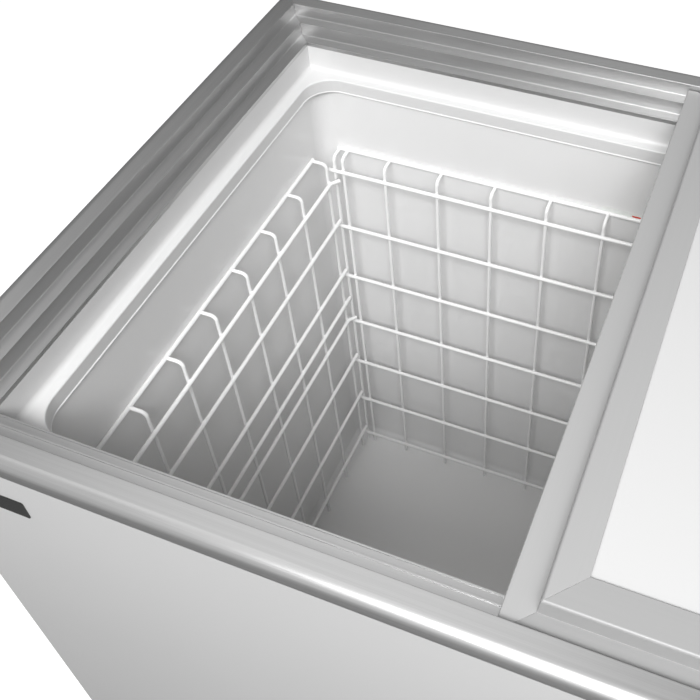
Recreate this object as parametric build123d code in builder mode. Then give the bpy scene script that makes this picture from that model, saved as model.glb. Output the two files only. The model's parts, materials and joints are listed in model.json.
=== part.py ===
"""Commercial chest freezer with two solid sliding lids.

Frame: origin on the floor under the middle of the cabinet, +X along the length (to the right seen
from the front), +Y to the rear, +Z up.  Millimetres.
"""

import os
from math import cos, radians, sin

from build123d import *

os.makedirs("parts", exist_ok=True)

# Overall size, over the rounded nose of the top rim
length = 1050.0
depth = 650.0
rim_height = 850.0
half_length = length / 2
half_depth = depth / 2

# Top rim: an extrusion with a rounded nose and two stepped tracks.  Insets are measured inward from
# the outermost face of the nose, drops downward from the top of the rim.
nose_radius = 10.8
track_inset = 24.8
lower_track_inset = 39.1
well_inset = 52.6
track_drop = 14.5
rim_wall = 1.6
track_bead = 0.7
track_cove = 1.2
rim_edge_round = 0.6
rim_lip_drop = 2 * track_drop + 4.0
mitre_gap = 0.08

# White collar between the rim and the liner
collar_wall = 2.2
collar_ledge_drop = 62.0
collar_skirt_drop = 77.5
opening_inset = 65.4
opening_corner_radius = 33.0

# Inner liner
liner_thickness = 1.0
liner_inset = 63.1
liner_corner_radius = 21.0
liner_floor = 80.0
liner_top_drop = 66.0
floor_fillet = 12.0
step_start = 247.0
step_top = 330.0
liner_half_x = half_length - liner_inset
liner_half_y = half_depth - liner_inset

# Outer cabinet
panel_inset = 6.0
panel_thickness = 0.8
panel_bottom = 15.0
panel_top = rim_height - 2 * nose_radius - 0.3
panel_return = 12.0
panel_corner_radius = 2.0
fold_depth = 20.7
fold_end_gap = 3.0
body_half_x = half_length - panel_inset
body_half_y = half_depth - panel_inset
panel_middle = (panel_top + panel_bottom) / 2
panel_height = panel_top - panel_bottom
base_pan_level = 16.0
foam_bottom = 17.2
foam_top = rim_height - 36.0

# Machine compartment at the right-hand end
machine_start = 297.0
machine_top = 280.0
grille_centre = (-150.0, 140.0)
grille_size = (250.0, 200.0)
control_centre = (400.0, 110.0)
control_size = (150.0, 60.0)

# Wire guards
thick_wire = 2.25
thin_wire = 1.9
guard_top = rim_height - 164.0
guard_offset = 18.6
guard_bend = 6.0
weld_depth = 0.5
guard_floor_gap = 8.0

# Lids
stile_lip = 10.3
rail_width = 38.7
upper_lid_left = 480.7 - half_length
lower_lid_left = 482.4 - half_length
lid_end_clearance = 0.5
lid_side_clearance = 1.5


def write_part(builder, node_name):
    """Label a finished piece and write it as the node of that name."""
    builder.part.label = node_name
    export_step(builder.part, f"parts/{node_name}.step")


def rail_plane(side, x_low, x_high, y_low, y_high, level):
    """Plane of a rail's section (local x inward, local y up) and the rail's length along its normal."""
    if side == "front":
        return Plane(origin=(x_low, y_low, level), x_dir=(0, 1, 0), z_dir=(1, 0, 0)), x_high - x_low
    if side == "rear":
        return Plane(origin=(x_high, y_high, level), x_dir=(0, -1, 0), z_dir=(-1, 0, 0)), x_high - x_low
    if side == "left":
        return Plane(origin=(x_low, y_high, level), x_dir=(1, 0, 0), z_dir=(0, -1, 0)), y_high - y_low
    return Plane(origin=(x_high, y_low, level), x_dir=(-1, 0, 0), z_dir=(0, 1, 0)), y_high - y_low


def edges_along(rail, plane, inset, level):
    """The long edges of a rail at a place in its section."""
    found = []
    for edge in rail.edges():
        spot = plane.to_local_coords(edge.center())
        if abs(spot.X - inset) < 0.01 and abs(spot.Y - level) < 0.01:
            found.append(edge)
    return found


def cut_mitres(plane, run):
    """Cut both ends of the rail being built at 45 degrees, leaving a hairline at each corner."""
    start = plane.origin + plane.z_dir * mitre_gap
    end = plane.origin + plane.z_dir * (run - mitre_gap)
    split(bisect_by=Plane(origin=start, z_dir=plane.z_dir - plane.x_dir), keep=Keep.TOP)
    split(bisect_by=Plane(origin=end, z_dir=plane.z_dir * -1 - plane.x_dir), keep=Keep.TOP)


# Top rim


def build_rim_rail(side):
    """One mitred side of the top rim."""
    plane, run = rail_plane(side, -half_length, half_length, -half_depth, half_depth, rim_height)
    inner_nose = nose_radius - rim_wall
    with BuildPart() as rail:
        with BuildSketch(plane):
            with BuildLine():
                ThreePointArc((nose_radius, -2 * nose_radius), (0, -nose_radius), (nose_radius, 0))
                Polyline(
                    (nose_radius, 0),
                    (track_inset, 0),
                    (track_inset, -track_drop),
                    (lower_track_inset - 1.5, -track_drop),
                    (lower_track_inset - 1.5, -track_drop + track_bead),
                    (lower_track_inset, -track_drop + track_bead),
                    (lower_track_inset, -2 * track_drop),
                    (well_inset - 1.5, -2 * track_drop),
                    (well_inset - 1.5, -2 * track_drop + track_bead),
                    (well_inset, -2 * track_drop + track_bead),
                    (well_inset, -rim_lip_drop),
                    (well_inset - rim_wall, -rim_lip_drop),
                    (well_inset - rim_wall, -2 * track_drop - rim_wall),
                    (lower_track_inset - rim_wall, -2 * track_drop - rim_wall),
                    (lower_track_inset - rim_wall, -track_drop - rim_wall),
                    (track_inset - rim_wall, -track_drop - rim_wall),
                    (track_inset - rim_wall, -rim_wall),
                    (nose_radius, -rim_wall),
                )
                ThreePointArc(
                    (nose_radius, -rim_wall),
                    (nose_radius - inner_nose, -nose_radius),
                    (nose_radius, -2 * nose_radius + rim_wall),
                )
                Line((nose_radius, -2 * nose_radius + rim_wall), (nose_radius, -2 * nose_radius))
            make_face()
        extrude(amount=run)
        fillet(edges_along(rail, plane, track_inset, -track_drop), radius=track_cove)
        fillet(edges_along(rail, plane, lower_track_inset, -2 * track_drop), radius=track_cove)
        fillet(edges_along(rail, plane, track_inset, 0), radius=rim_edge_round)
        cut_mitres(plane, run)
    return rail


for rim_side in ("front", "rear", "left", "right"):
    write_part(build_rim_rail(rim_side), f"rim_{rim_side}")

# Four moulded angle brackets that hold the mitred corners together under the rim's flat top
bracket_leg = 45.0
bracket_width = 9.0
bracket_inset = nose_radius + 2.0
with BuildPart() as corner_brackets:
    for x_sign in (-1, 1):
        for y_sign in (-1, 1):
            corner_x = x_sign * (half_length - bracket_inset)
            corner_y = y_sign * (half_depth - bracket_inset)
            x_align = Align.MIN if x_sign < 0 else Align.MAX
            y_align = Align.MIN if y_sign < 0 else Align.MAX
            with BuildSketch(Plane.XY.offset(rim_height - rim_wall - 3.1)):
                with Locations((corner_x, corner_y)):
                    Rectangle(bracket_leg, bracket_width, align=(x_align, y_align))
                    Rectangle(bracket_width, bracket_leg, align=(x_align, y_align))
            extrude(amount=3.0)
write_part(corner_brackets, "rim_corner_brackets")

# White collar


def inset_rectangle(inset, radius=0.0, mode=Mode.ADD):
    """Plan rectangle a given distance inside the outline of the rim, in the sketch being built."""
    width = length - 2 * inset
    height = depth - 2 * inset
    if radius > 0:
        RectangleRounded(width, height, radius, mode=mode)
    else:
        Rectangle(width, height, mode=mode)


with BuildPart() as collar:
    with BuildSketch(Plane.XY.offset(rim_height - rim_lip_drop - 0.1)):
        inset_rectangle(40.0)
        inset_rectangle(well_inset, mode=Mode.SUBTRACT)
    extrude(amount=-collar_wall)
    with BuildSketch(Plane.XY.offset(rim_height - rim_lip_drop - 0.1)):
        inset_rectangle(well_inset - collar_wall)
        inset_rectangle(well_inset, mode=Mode.SUBTRACT)
    extrude(amount=-(collar_ledge_drop - rim_lip_drop - 0.1 + collar_wall))
    with BuildSketch(Plane.XY.offset(rim_height - collar_ledge_drop)):
        inset_rectangle(well_inset - collar_wall)
        inset_rectangle(opening_inset, opening_corner_radius, Mode.SUBTRACT)
    extrude(amount=-collar_wall)
    with BuildSketch(Plane.XY.offset(rim_height - collar_ledge_drop)):
        inset_rectangle(opening_inset - collar_wall, opening_corner_radius + collar_wall)
        inset_rectangle(opening_inset, opening_corner_radius, Mode.SUBTRACT)
    extrude(amount=-(collar_skirt_drop - collar_ledge_drop))
    ledge_edges = collar.edges().filter_by_position(
        Axis.Z, rim_height - collar_ledge_drop - 0.01, rim_height - collar_ledge_drop + 0.01
    )
    wall_foot = ledge_edges.filter_by(GeomType.LINE).filter_by(
        lambda e: e.length > length - 2 * well_inset - 1 or abs(e.length - (depth - 2 * well_inset)) < 1
    )
    fillet(wall_foot, radius=5.0)
    ledge_edges = collar.edges().filter_by_position(
        Axis.Z, rim_height - collar_ledge_drop - 0.01, rim_height - collar_ledge_drop + 0.01
    )
    opening_edges = ledge_edges.filter_by(
        lambda e: abs(e.center().X) < half_length - opening_inset + 0.5
        and abs(e.center().Y) < half_depth - opening_inset + 0.5
    )
    fillet(opening_edges, radius=1.6)
write_part(collar, "collar")

# Inner liner and insulation


def build_storage_space(grow, top):
    """The storage space with its raised step over the machine compartment, grown outward by grow."""
    with BuildPart() as space:
        with BuildSketch(Plane.XY.offset(liner_floor - grow)):
            RectangleRounded(
                2 * (liner_half_x + grow), 2 * (liner_half_y + grow), liner_corner_radius + grow
            )
        extrude(amount=top - liner_floor + grow)
        fillet(space.faces().sort_by(Axis.Z)[0].edges(), radius=floor_fillet + grow)
        with BuildSketch(Plane.XY.offset(liner_floor - 20)):
            with Locations((step_start + grow, 0)):
                Rectangle(400, depth, align=(Align.MIN, Align.CENTER))
        extrude(amount=step_top - grow - liner_floor + 20, mode=Mode.SUBTRACT)
        step_edge = (
            space.edges()
            .filter_by(Axis.Y)
            .filter_by_position(Axis.X, step_start + grow - 0.01, step_start + grow + 0.01)
            .sort_by(Axis.Z)[-1]
        )
        fillet(step_edge, radius=floor_fillet - grow)
    return space


liner_top = rim_height - liner_top_drop
drain_spot = (-390.0, -190.0)
drain_radius = 11.0
stopper_radius = drain_radius - 2.0
with BuildPart() as inner_liner:
    add(build_storage_space(liner_thickness, liner_top).part)
    add(build_storage_space(0.0, liner_top + 1).part, mode=Mode.SUBTRACT)
    with BuildSketch(Plane.XY.offset(liner_floor - 5)):
        with Locations(drain_spot):
            Circle(drain_radius + 0.1)
    extrude(amount=10, mode=Mode.SUBTRACT)
write_part(inner_liner, "inner_liner")

coil_gap = 11.0
coil_top = 745.0
coil_bottom = 370.0
with BuildPart() as foam_insulation:
    with BuildSketch(Plane.XY.offset(foam_bottom)):
        Rectangle(2 * (body_half_x - 1.2), 2 * (body_half_y - 1.2))
    extrude(amount=foam_top - foam_bottom)
    add(build_storage_space(liner_thickness + 0.1, foam_top + 1).part, mode=Mode.SUBTRACT)
    with BuildSketch(Plane.XY.offset(coil_bottom - 12)):
        RectangleRounded(
            2 * (liner_half_x + coil_gap), 2 * (liner_half_y + coil_gap), liner_corner_radius + coil_gap
        )
    extrude(amount=coil_top - coil_bottom + 24, mode=Mode.SUBTRACT)
    with BuildSketch(Plane.XY.offset(foam_bottom - 1)):
        with Locations((machine_start - 2, 0)):
            Rectangle(400, depth, align=(Align.MIN, Align.CENTER))
    extrude(amount=machine_top + 2 - foam_bottom + 1, mode=Mode.SUBTRACT)
    with BuildSketch(Plane.XY.offset(foam_bottom - 1)):
        with Locations(drain_spot):
            Circle(drain_radius + 7)
        with Locations((drain_spot[0], drain_spot[1])):
            Rectangle(2 * drain_radius + 14, half_depth, align=(Align.CENTER, Align.MAX))
    extrude(amount=liner_floor - foam_bottom - 14, mode=Mode.SUBTRACT)
    with BuildSketch(Plane.XY.offset(foam_bottom - 1)):
        with Locations(drain_spot):
            Circle(drain_radius + 7)
    extrude(amount=liner_floor - foam_bottom + 3, mode=Mode.SUBTRACT)
    with BuildSketch(Plane.XY.offset(rim_height - collar_skirt_drop - 1)):
        inset_rectangle(opening_inset - collar_wall - 4, liner_corner_radius + 4)
    extrude(amount=60, mode=Mode.SUBTRACT)
    with BuildSketch(Plane.XY.offset(rim_height - collar_ledge_drop - collar_wall - 0.4)):
        inset_rectangle(well_inset - collar_wall - 0.4)
    extrude(amount=60, mode=Mode.SUBTRACT)
write_part(foam_insulation, "foam_insulation")

# Refrigerant tube wound round the liner, buried between the liner and the foam
coil_radius = 4.0
coil_half_x = liner_half_x + liner_thickness + coil_radius + 0.6
coil_half_y = liner_half_y + liner_thickness + coil_radius + 0.6
coil_turns = 6
coil_pitch = (coil_top - coil_bottom) / coil_turns
coil_tail = 60.0
coil_points = []
for turn in range(coil_turns):
    turn_level = coil_top - turn * coil_pitch
    start_x = -coil_half_x + (coil_tail if turn == 0 else 0)
    coil_points.append((start_x, -coil_half_y, turn_level))
    coil_points.append((coil_half_x, -coil_half_y, turn_level))
    coil_points.append((coil_half_x, coil_half_y, turn_level))
    if turn < coil_turns - 1:
        coil_points.append((-coil_half_x, coil_half_y, turn_level))
coil_points.append((-coil_half_x + coil_tail, coil_half_y, turn_level))
with BuildPart() as evaporator_coil:
    with BuildLine() as coil_path:
        FilletPolyline(coil_points, radius=liner_corner_radius + 5.6)
    with BuildSketch(Plane(origin=coil_points[0], z_dir=coil_path.line @ 0.001 - coil_path.line @ 0)):
        Circle(coil_radius)
    sweep(path=coil_path.line)
write_part(evaporator_coil, "evaporator_coil")

# Drain


def build_pipe(points, outer_radius, bend_radius, inner_radius=0.0):
    """A round pipe along straight runs joined by bends."""
    with BuildPart() as pipe:
        with BuildLine() as pipe_path:
            FilletPolyline(points, radius=bend_radius)
        start = Vector(*points[0])
        with BuildSketch(Plane(origin=start, z_dir=Vector(*points[1]) - start)):
            Circle(outer_radius)
            if inner_radius > 0:
                Circle(inner_radius, mode=Mode.SUBTRACT)
        sweep(path=pipe_path.line)
    return pipe


drain_level = 42.0
drain_bend = 16.0
cap_radius = 16.0
cap_thickness = 4.0
plug_flange_radius = 17.0
plug_flange_thickness = 3.0
plug_grip = (20.0, 6.0, 7.0)
drain_front = -body_half_y + 0.2
drain_route = [
    (drain_spot[0], drain_spot[1], liner_floor - liner_thickness - 0.1),
    (drain_spot[0], drain_spot[1], drain_level),
    (drain_spot[0], drain_front, drain_level),
]
write_part(build_pipe(drain_route, drain_radius + 1, drain_bend, drain_radius - 1.5), "drain_tube")

with BuildPart() as drain_cap:
    with BuildSketch(Plane.XZ.offset(body_half_y + 1.0)):
        with Locations((drain_spot[0], drain_level)):
            Circle(cap_radius)
    extrude(amount=cap_thickness)
    fillet(drain_cap.faces().sort_by(Axis.Y)[0].edges(), radius=1.5)
    with BuildSketch(Plane.XZ.offset(body_half_y + 1.0)):
        with Locations((drain_spot[0], drain_level)):
            Circle(stopper_radius)
    extrude(amount=-12.0)
write_part(drain_cap, "drain_cap")

with BuildPart() as drain_plug:
    with BuildSketch(Plane.XY.offset(liner_floor + 0.3)):
        with Locations(drain_spot):
            Circle(plug_flange_radius)
    extrude(amount=plug_flange_thickness)
    with BuildSketch(Plane.XY.offset(liner_floor + 0.3)):
        with Locations(drain_spot):
            Circle(stopper_radius)
    extrude(amount=-9.0)
    with BuildSketch(Plane.XY.offset(liner_floor + 0.3 + plug_flange_thickness)):
        with Locations(drain_spot):
            SlotOverall(plug_grip[0], plug_grip[1])
    extrude(amount=plug_grip[2])
    fillet(drain_plug.faces().sort_by(Axis.Z)[-1].edges(), radius=2.0)
write_part(drain_plug, "drain_plug")

# Outer panels


def build_wrap_panel(y_sign):
    """Front or rear sheet: flat face, rounded corners with short returns along the sides, bottom fold."""
    with BuildPart() as panel:
        with BuildSketch(Plane.XY.offset(panel_bottom)):
            RectangleRounded(2 * body_half_x, 2 * body_half_y, panel_corner_radius)
            RectangleRounded(
                2 * (body_half_x - panel_thickness),
                2 * (body_half_y - panel_thickness),
                panel_corner_radius - panel_thickness,
                mode=Mode.SUBTRACT,
            )
            with Locations((0, y_sign * (body_half_y - panel_return / 2))):
                Rectangle(2 * body_half_x, panel_return, mode=Mode.INTERSECT)
        extrude(amount=panel_height)
        with BuildSketch(Plane.XY.offset(panel_bottom)):
            with Locations((0, y_sign * (body_half_y - panel_thickness))):
                Rectangle(
                    2 * (body_half_x - fold_end_gap),
                    fold_depth,
                    align=(Align.CENTER, Align.MAX if y_sign > 0 else Align.MIN),
                )
        extrude(amount=panel_thickness)
    return panel


control_x, control_z = control_centre
control_width, control_height = control_size
with BuildPart() as front_panel:
    add(build_wrap_panel(-1).part)
    with BuildSketch(Plane.XZ.offset(body_half_y + 5)):
        with Locations((control_x, control_z)):
            Rectangle(control_width, control_height)
        with Locations((drain_spot[0], drain_level)):
            Circle(drain_radius + 1.4)
    extrude(amount=-10, mode=Mode.SUBTRACT)
write_part(front_panel, "front_panel")

gland_spot = (430.0, 70.0)
gland_hole_radius = 9.0
cord_bore_radius = 4.5
with BuildPart() as rear_panel:
    add(build_wrap_panel(1).part)
    with BuildSketch(Plane.XZ.offset(-body_half_y + 5)):
        with Locations(gland_spot):
            Circle(gland_hole_radius)
    extrude(amount=-10, mode=Mode.SUBTRACT)
write_part(rear_panel, "rear_panel")

grille_y, grille_z = grille_centre
grille_width, grille_height = grille_size
side_panel_depth = 2 * (body_half_y - panel_return) - 0.6
for side_name, x_sign in (("left", -1), ("right", 1)):
    with BuildPart() as side_panel:
        with BuildSketch(Plane.YZ.offset(x_sign * body_half_x)):
            with Locations((0, panel_middle)):
                Rectangle(side_panel_depth, panel_height)
        extrude(amount=-x_sign * panel_thickness)
        with BuildSketch(Plane.XY.offset(panel_bottom)):
            with Locations((x_sign * (body_half_x - 0.2), 0)):
                Rectangle(
                    14.0,
                    side_panel_depth - 30,
                    align=(Align.MIN if x_sign < 0 else Align.MAX, Align.CENTER),
                )
        extrude(amount=panel_thickness)
        if x_sign > 0:
            with BuildSketch(Plane.YZ.offset(body_half_x - 10)):
                with Locations((grille_y, grille_z)):
                    Rectangle(grille_width, grille_height)
            extrude(amount=20, mode=Mode.SUBTRACT)
    write_part(side_panel, f"{side_name}_panel")

with BuildPart() as base_pan:
    with BuildSketch(Plane.XY.offset(base_pan_level)):
        Rectangle(2 * (body_half_x - 1.8), 2 * (body_half_y - 1.8))
    extrude(amount=1.0)
write_part(base_pan, "base_pan")

foot_height = base_pan_level - 0.1
foot_spacing = (920.0, 520.0)
foot_radius = 26.0
foot_round = 3.0
with BuildPart() as feet:
    with BuildSketch(Plane.XY):
        with GridLocations(*foot_spacing, 2, 2):
            Circle(foot_radius)
    extrude(amount=foot_height)
    fillet(feet.edges().filter_by_position(Axis.Z, -0.01, 0.01), radius=foot_round)
write_part(feet, "feet")

# Folded sheet that walls the machine compartment off from the foam
with BuildPart() as machine_bulkhead:
    with BuildSketch(Plane.XZ.offset(-body_half_y + 1.5)):
        with Locations((machine_start - 1.5, base_pan_level + 1.1)):
            Rectangle(0.9, machine_top - base_pan_level, align=(Align.MIN, Align.MIN))
        with Locations((machine_start - 1.5, machine_top + 0.2)):
            Rectangle(body_half_x - machine_start, 0.9, align=(Align.MIN, Align.MIN))
    extrude(amount=2 * body_half_y - 3)
write_part(machine_bulkhead, "machine_bulkhead")

# Badge and load line

badge_right = 106.3 - half_length
badge_length = 86.0
badge_height = 21.8
badge_level = rim_height - 72.2
with BuildPart() as badge_plate:
    with BuildSketch(Plane.XZ.offset(body_half_y + 0.05)):
        with Locations((badge_right - badge_length / 2, badge_level)):
            RectangleRounded(badge_length, badge_height, 1.5)
    extrude(amount=1.0)
write_part(badge_plate, "badge_plate")

load_line_level = rim_height - 163.0
load_line_length = 220.0
load_line_height = 13.0
mark_offset = load_line_length / 2 - 40.0
with BuildPart() as load_line_strip:
    with BuildSketch(Plane.XZ.offset(-liner_half_y + 0.02)):
        with Locations((0, load_line_level)):
            RectangleRounded(load_line_length, load_line_height, 1.0)
    extrude(amount=0.15)
write_part(load_line_strip, "load_line_strip")

with BuildPart() as load_line_marks:
    with BuildSketch(Plane.XZ.offset(-liner_half_y + 0.18)):
        for mark_x in (-mark_offset, 0.0, mark_offset):
            with Locations((mark_x, load_line_level)):
                Trapezoid(11.0, 4.6, 60, rotation=180)
    extrude(amount=0.12)
write_part(load_line_marks, "load_line_marks")

# Wire guards


def build_wire(points, radius, bend_radius=0.0):
    """A round wire through the points, its corners bent to a radius."""
    with BuildPart() as wire:
        with BuildLine() as wire_path:
            if bend_radius > 0:
                FilletPolyline(points, radius=bend_radius)
            else:
                Line(points[0], points[1])
        start = Vector(*points[0])
        with BuildSketch(Plane(origin=start, z_dir=Vector(*points[1]) - start)):
            Circle(radius)
        sweep(path=wire_path.line)
    return wire.part


def build_hook_wire(top, inward, bottom):
    """A wire that leaves the top wire, runs inward, bends and drops to the bottom level."""
    top_x, top_y, top_z = top
    corner = (top_x + inward[0] * guard_offset, top_y + inward[1] * guard_offset, top_z)
    foot = (corner[0], corner[1], bottom)
    return build_wire((top, corner, foot), thin_wire, guard_bend)


guard_wall_gap = thick_wire + 0.3
guard_floor = liner_floor + guard_floor_gap
step_guard_floor = step_top + guard_floor_gap
cross_offset = guard_offset + thin_wire + thick_wire - weld_depth

long_guard_first = 153.8 - half_length
long_guard_pitch = 67.5
long_guard_ends = (86.8 - half_length, 98.4 - half_length)
long_guard_spots = [long_guard_first + long_guard_pitch * index for index in range(12)]
long_guard_spots += [sign * spot for sign in (1, -1) for spot in long_guard_ends]
long_guard_rows = [182.0, 275.0, 368.0, 461.0, 554.0, 647.0, 740.0]
step_clearance = 14.0


def build_long_guard(y_sign):
    """Rear or front guard.  Its wires stop above the step at the machine end."""
    wall_y = y_sign * (liner_half_y - guard_wall_gap)
    inward = (0, -y_sign, 0)
    cross_y = wall_y - y_sign * cross_offset
    end_x = -long_guard_ends[0] + 3
    wires = [build_wire(((-end_x, wall_y, guard_top), (end_x, wall_y, guard_top)), thick_wire)]
    for spot in long_guard_spots:
        over_step = spot > step_start - step_clearance
        bottom = step_guard_floor if over_step else guard_floor
        wires.append(build_hook_wire((spot, wall_y, guard_top), inward, bottom))
    for drop in long_guard_rows:
        level = rim_height - drop
        row_end = end_x + 3 if level > step_guard_floor else step_start - step_clearance
        wires.append(build_wire(((-end_x - 3, cross_y, level), (row_end, cross_y, level)), thick_wire))
    with BuildPart() as guard:
        add(wires)
    return guard


short_guard_margin = 100.0 - half_depth
short_guard_count = 8
short_guard_pitch = -2 * short_guard_margin / (short_guard_count - 1)
short_guard_spots = [short_guard_margin + short_guard_pitch * index for index in range(short_guard_count)]
short_guard_rows = [193.0, 265.0, 356.0, 412.0, 448.0, 538.0, 630.0, 722.0]
hooked_rows = (193.0, 448.0)
short_guard_reach = 8.0
hook_run = (8.0, 9.5)


def build_short_guard(x_sign):
    """Left or right guard.  Two of its rows end in hooks that catch the long guards."""
    wall_x = x_sign * (liner_half_x - guard_wall_gap)
    inward = (-x_sign, 0, 0)
    cross_x = wall_x - x_sign * cross_offset
    end_y = -short_guard_margin + 3
    bottom = guard_floor if x_sign < 0 else step_guard_floor
    wires = [build_wire(((wall_x, -end_y, guard_top), (wall_x, end_y, guard_top)), thick_wire)]
    for spot in short_guard_spots:
        wires.append(build_hook_wire((wall_x, spot, guard_top), inward, bottom))
    for drop in short_guard_rows:
        level = rim_height - drop
        if level <= bottom:
            continue
        reach = end_y + short_guard_reach
        straight = ((cross_x, -reach, level), (cross_x, reach, level))
        if drop in hooked_rows:
            hook_turn = end_y - 4
            hook_end = cross_x - x_sign * hook_run[0]
            hook_tip = hook_turn + hook_run[1]
            hooked = (
                (hook_end, -hook_tip, level),
                (cross_x, -hook_turn, level),
                (cross_x, hook_turn, level),
                (hook_end, hook_tip, level),
            )
            wires.append(build_wire(hooked, thick_wire, 6.0))
        else:
            wires.append(build_wire(straight, thick_wire))
    with BuildPart() as guard:
        add(wires)
    return guard


write_part(build_long_guard(1), "guard_rear")
write_part(build_long_guard(-1), "guard_front")
write_part(build_short_guard(-1), "guard_left")
write_part(build_short_guard(1), "guard_right")

# Refrigeration machinery

compressor_half = (74.0, 94.0)
compressor_height = 165.0
seam_width = 4.0
seam_height = 5.0
mount_spacing = (104.0, 160.0)
compressor_x = 405.0
compressor_y = 140.0
plate_level = base_pan_level + 1.1
mount_level = plate_level + 2.1
shell_level = 42.0

with BuildPart() as compressor_shell:
    with BuildSketch(Plane.XY.offset(shell_level)):
        with Locations((compressor_x, compressor_y)):
            Ellipse(*compressor_half)
    extrude(amount=compressor_height)
    fillet(compressor_shell.faces().sort_by(Axis.Z)[-1].edges(), radius=45.0)
    fillet(compressor_shell.faces().sort_by(Axis.Z)[0].edges(), radius=30.0)
    with BuildSketch(Plane.XY.offset(shell_level + 88)):
        with Locations((compressor_x, compressor_y)):
            Ellipse(compressor_half[0] + seam_width, compressor_half[1] + seam_width)
    extrude(amount=seam_height)
    with BuildSketch(Plane.XY.offset(shell_level - 4)):
        with Locations((compressor_x, compressor_y)):
            Rectangle(130.0, 190.0)
            with GridLocations(*mount_spacing, 2, 2):
                Circle(9.0, mode=Mode.SUBTRACT)
    extrude(amount=4.5)
write_part(compressor_shell, "compressor_shell")

with BuildPart() as compressor_rubber_mounts:
    with BuildSketch(Plane.XY.offset(mount_level)):
        with Locations((compressor_x, compressor_y)):
            with GridLocations(*mount_spacing, 2, 2):
                Circle(13.0)
    extrude(amount=shell_level - 4.2 - mount_level)
    with BuildSketch(Plane.XY.offset(mount_level)):
        with Locations((compressor_x, compressor_y)):
            with GridLocations(*mount_spacing, 2, 2):
                Circle(8.6)
    extrude(amount=shell_level + 4 - mount_level)
write_part(compressor_rubber_mounts, "compressor_rubber_mounts")

with BuildPart() as compressor_mount_plate:
    with BuildSketch(Plane.XY.offset(plate_level)):
        with Locations((compressor_x, compressor_y)):
            RectangleRounded(170.0, 240.0, 8.0)
    extrude(amount=2.0)
write_part(compressor_mount_plate, "compressor_mount_plate")

with BuildPart() as compressor_terminal_box:
    with BuildSketch(Plane.YZ.offset(compressor_x - 104)):
        with Locations((compressor_y, shell_level + 70)):
            RectangleRounded(70.0, 60.0, 6.0)
    extrude(amount=24.0)
    fillet(compressor_terminal_box.faces().sort_by(Axis.X)[0].edges(), radius=3.0)
write_part(compressor_terminal_box, "compressor_terminal_box")

condenser_x = 492.0
condenser_y = grille_y
condenser_z = 128.0
condenser_runs = 5
condenser_run_pitch = 34.0
condenser_half_width = 100.0
fin_thickness = 0.6
fin_width = 26.0
fin_count = 26
tube_radius = 4.0
lowest_run = condenser_z - condenser_run_pitch * (condenser_runs - 1) / 2
run_levels = [lowest_run + condenser_run_pitch * index for index in range(condenser_runs)]
with BuildPart() as condenser_fins:
    for fin in range(fin_count):
        fin_y = condenser_y - condenser_half_width + 2 * condenser_half_width * fin / (fin_count - 1)
        with BuildSketch(Plane.XZ.offset(-fin_y - fin_thickness / 2)):
            with Locations((condenser_x, condenser_z)):
                Rectangle(fin_width, condenser_runs * condenser_run_pitch + 8)
            for run_level in run_levels:
                with Locations((condenser_x, run_level)):
                    Circle(tube_radius + 0.05, mode=Mode.SUBTRACT)
        extrude(amount=fin_thickness)
write_part(condenser_fins, "condenser_fins")

with BuildPart() as condenser_tube:
    bend = condenser_run_pitch / 2
    tube_end = condenser_half_width + 8
    with BuildLine() as condenser_path:
        for index, run_level in enumerate(run_levels):
            going = 1 if index % 2 == 0 else -1
            start_y = condenser_y - going * tube_end
            end_y = condenser_y + going * tube_end
            Line((condenser_x, start_y, run_level), (condenser_x, end_y, run_level))
            if index < condenser_runs - 1:
                ThreePointArc(
                    (condenser_x, end_y, run_level),
                    (condenser_x, end_y + going * bend, run_level + bend),
                    (condenser_x, end_y, run_level + 2 * bend),
                )
    with BuildSketch(Plane(origin=(condenser_x, condenser_y - tube_end, run_levels[0]), z_dir=(0, 1, 0))):
        Circle(tube_radius)
    sweep(path=condenser_path.line)
write_part(condenser_tube, "condenser_tube")

fan_radius = 70.0
shroud_x = 470.0
shroud_size = (216.0, 184.0)
fan_bracket = 52.0
motor_radius = 22.0
hub_radius = 20.0
with BuildPart() as fan_shroud:
    with BuildSketch(Plane.YZ.offset(shroud_x)):
        with Locations((condenser_y, condenser_z)):
            Rectangle(*shroud_size)
            Circle(fan_radius + 5, mode=Mode.SUBTRACT)
    extrude(amount=1.5)
    with BuildSketch(Plane.YZ.offset(shroud_x + 0.1)):
        with Locations((condenser_y, condenser_z)):
            Circle(fan_radius + 6.5)
            Circle(fan_radius + 5, mode=Mode.SUBTRACT)
    extrude(amount=-26.0)
    with BuildSketch(Plane.YZ.offset(shroud_x - fan_bracket)):
        with Locations((condenser_y, condenser_z)):
            Rectangle(2 * fan_radius + 26, 16.0)
            Circle(2.6, mode=Mode.SUBTRACT)
    extrude(amount=2.0)
    for arm_y in (condenser_y - fan_radius - 11, condenser_y + fan_radius + 11):
        with BuildSketch(Plane.YZ.offset(shroud_x - fan_bracket)):
            with Locations((arm_y, condenser_z)):
                Rectangle(3.0, 16.0)
        extrude(amount=fan_bracket + 0.5)
write_part(fan_shroud, "fan_shroud")

fan_bore = 2.55
with BuildPart() as fan_motor:
    with BuildSketch(Plane.YZ.offset(shroud_x - 49.5)):
        with Locations((condenser_y, condenser_z)):
            Circle(motor_radius)
    extrude(amount=20.0)
    fillet(fan_motor.edges().filter_by(GeomType.CIRCLE), radius=3.0)
    with BuildSketch(Plane.YZ.offset(shroud_x - 44)):
        with Locations((condenser_y, condenser_z)):
            Circle(fan_bore)
    extrude(amount=30.0, mode=Mode.SUBTRACT)
write_part(fan_motor, "fan_motor")

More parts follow.
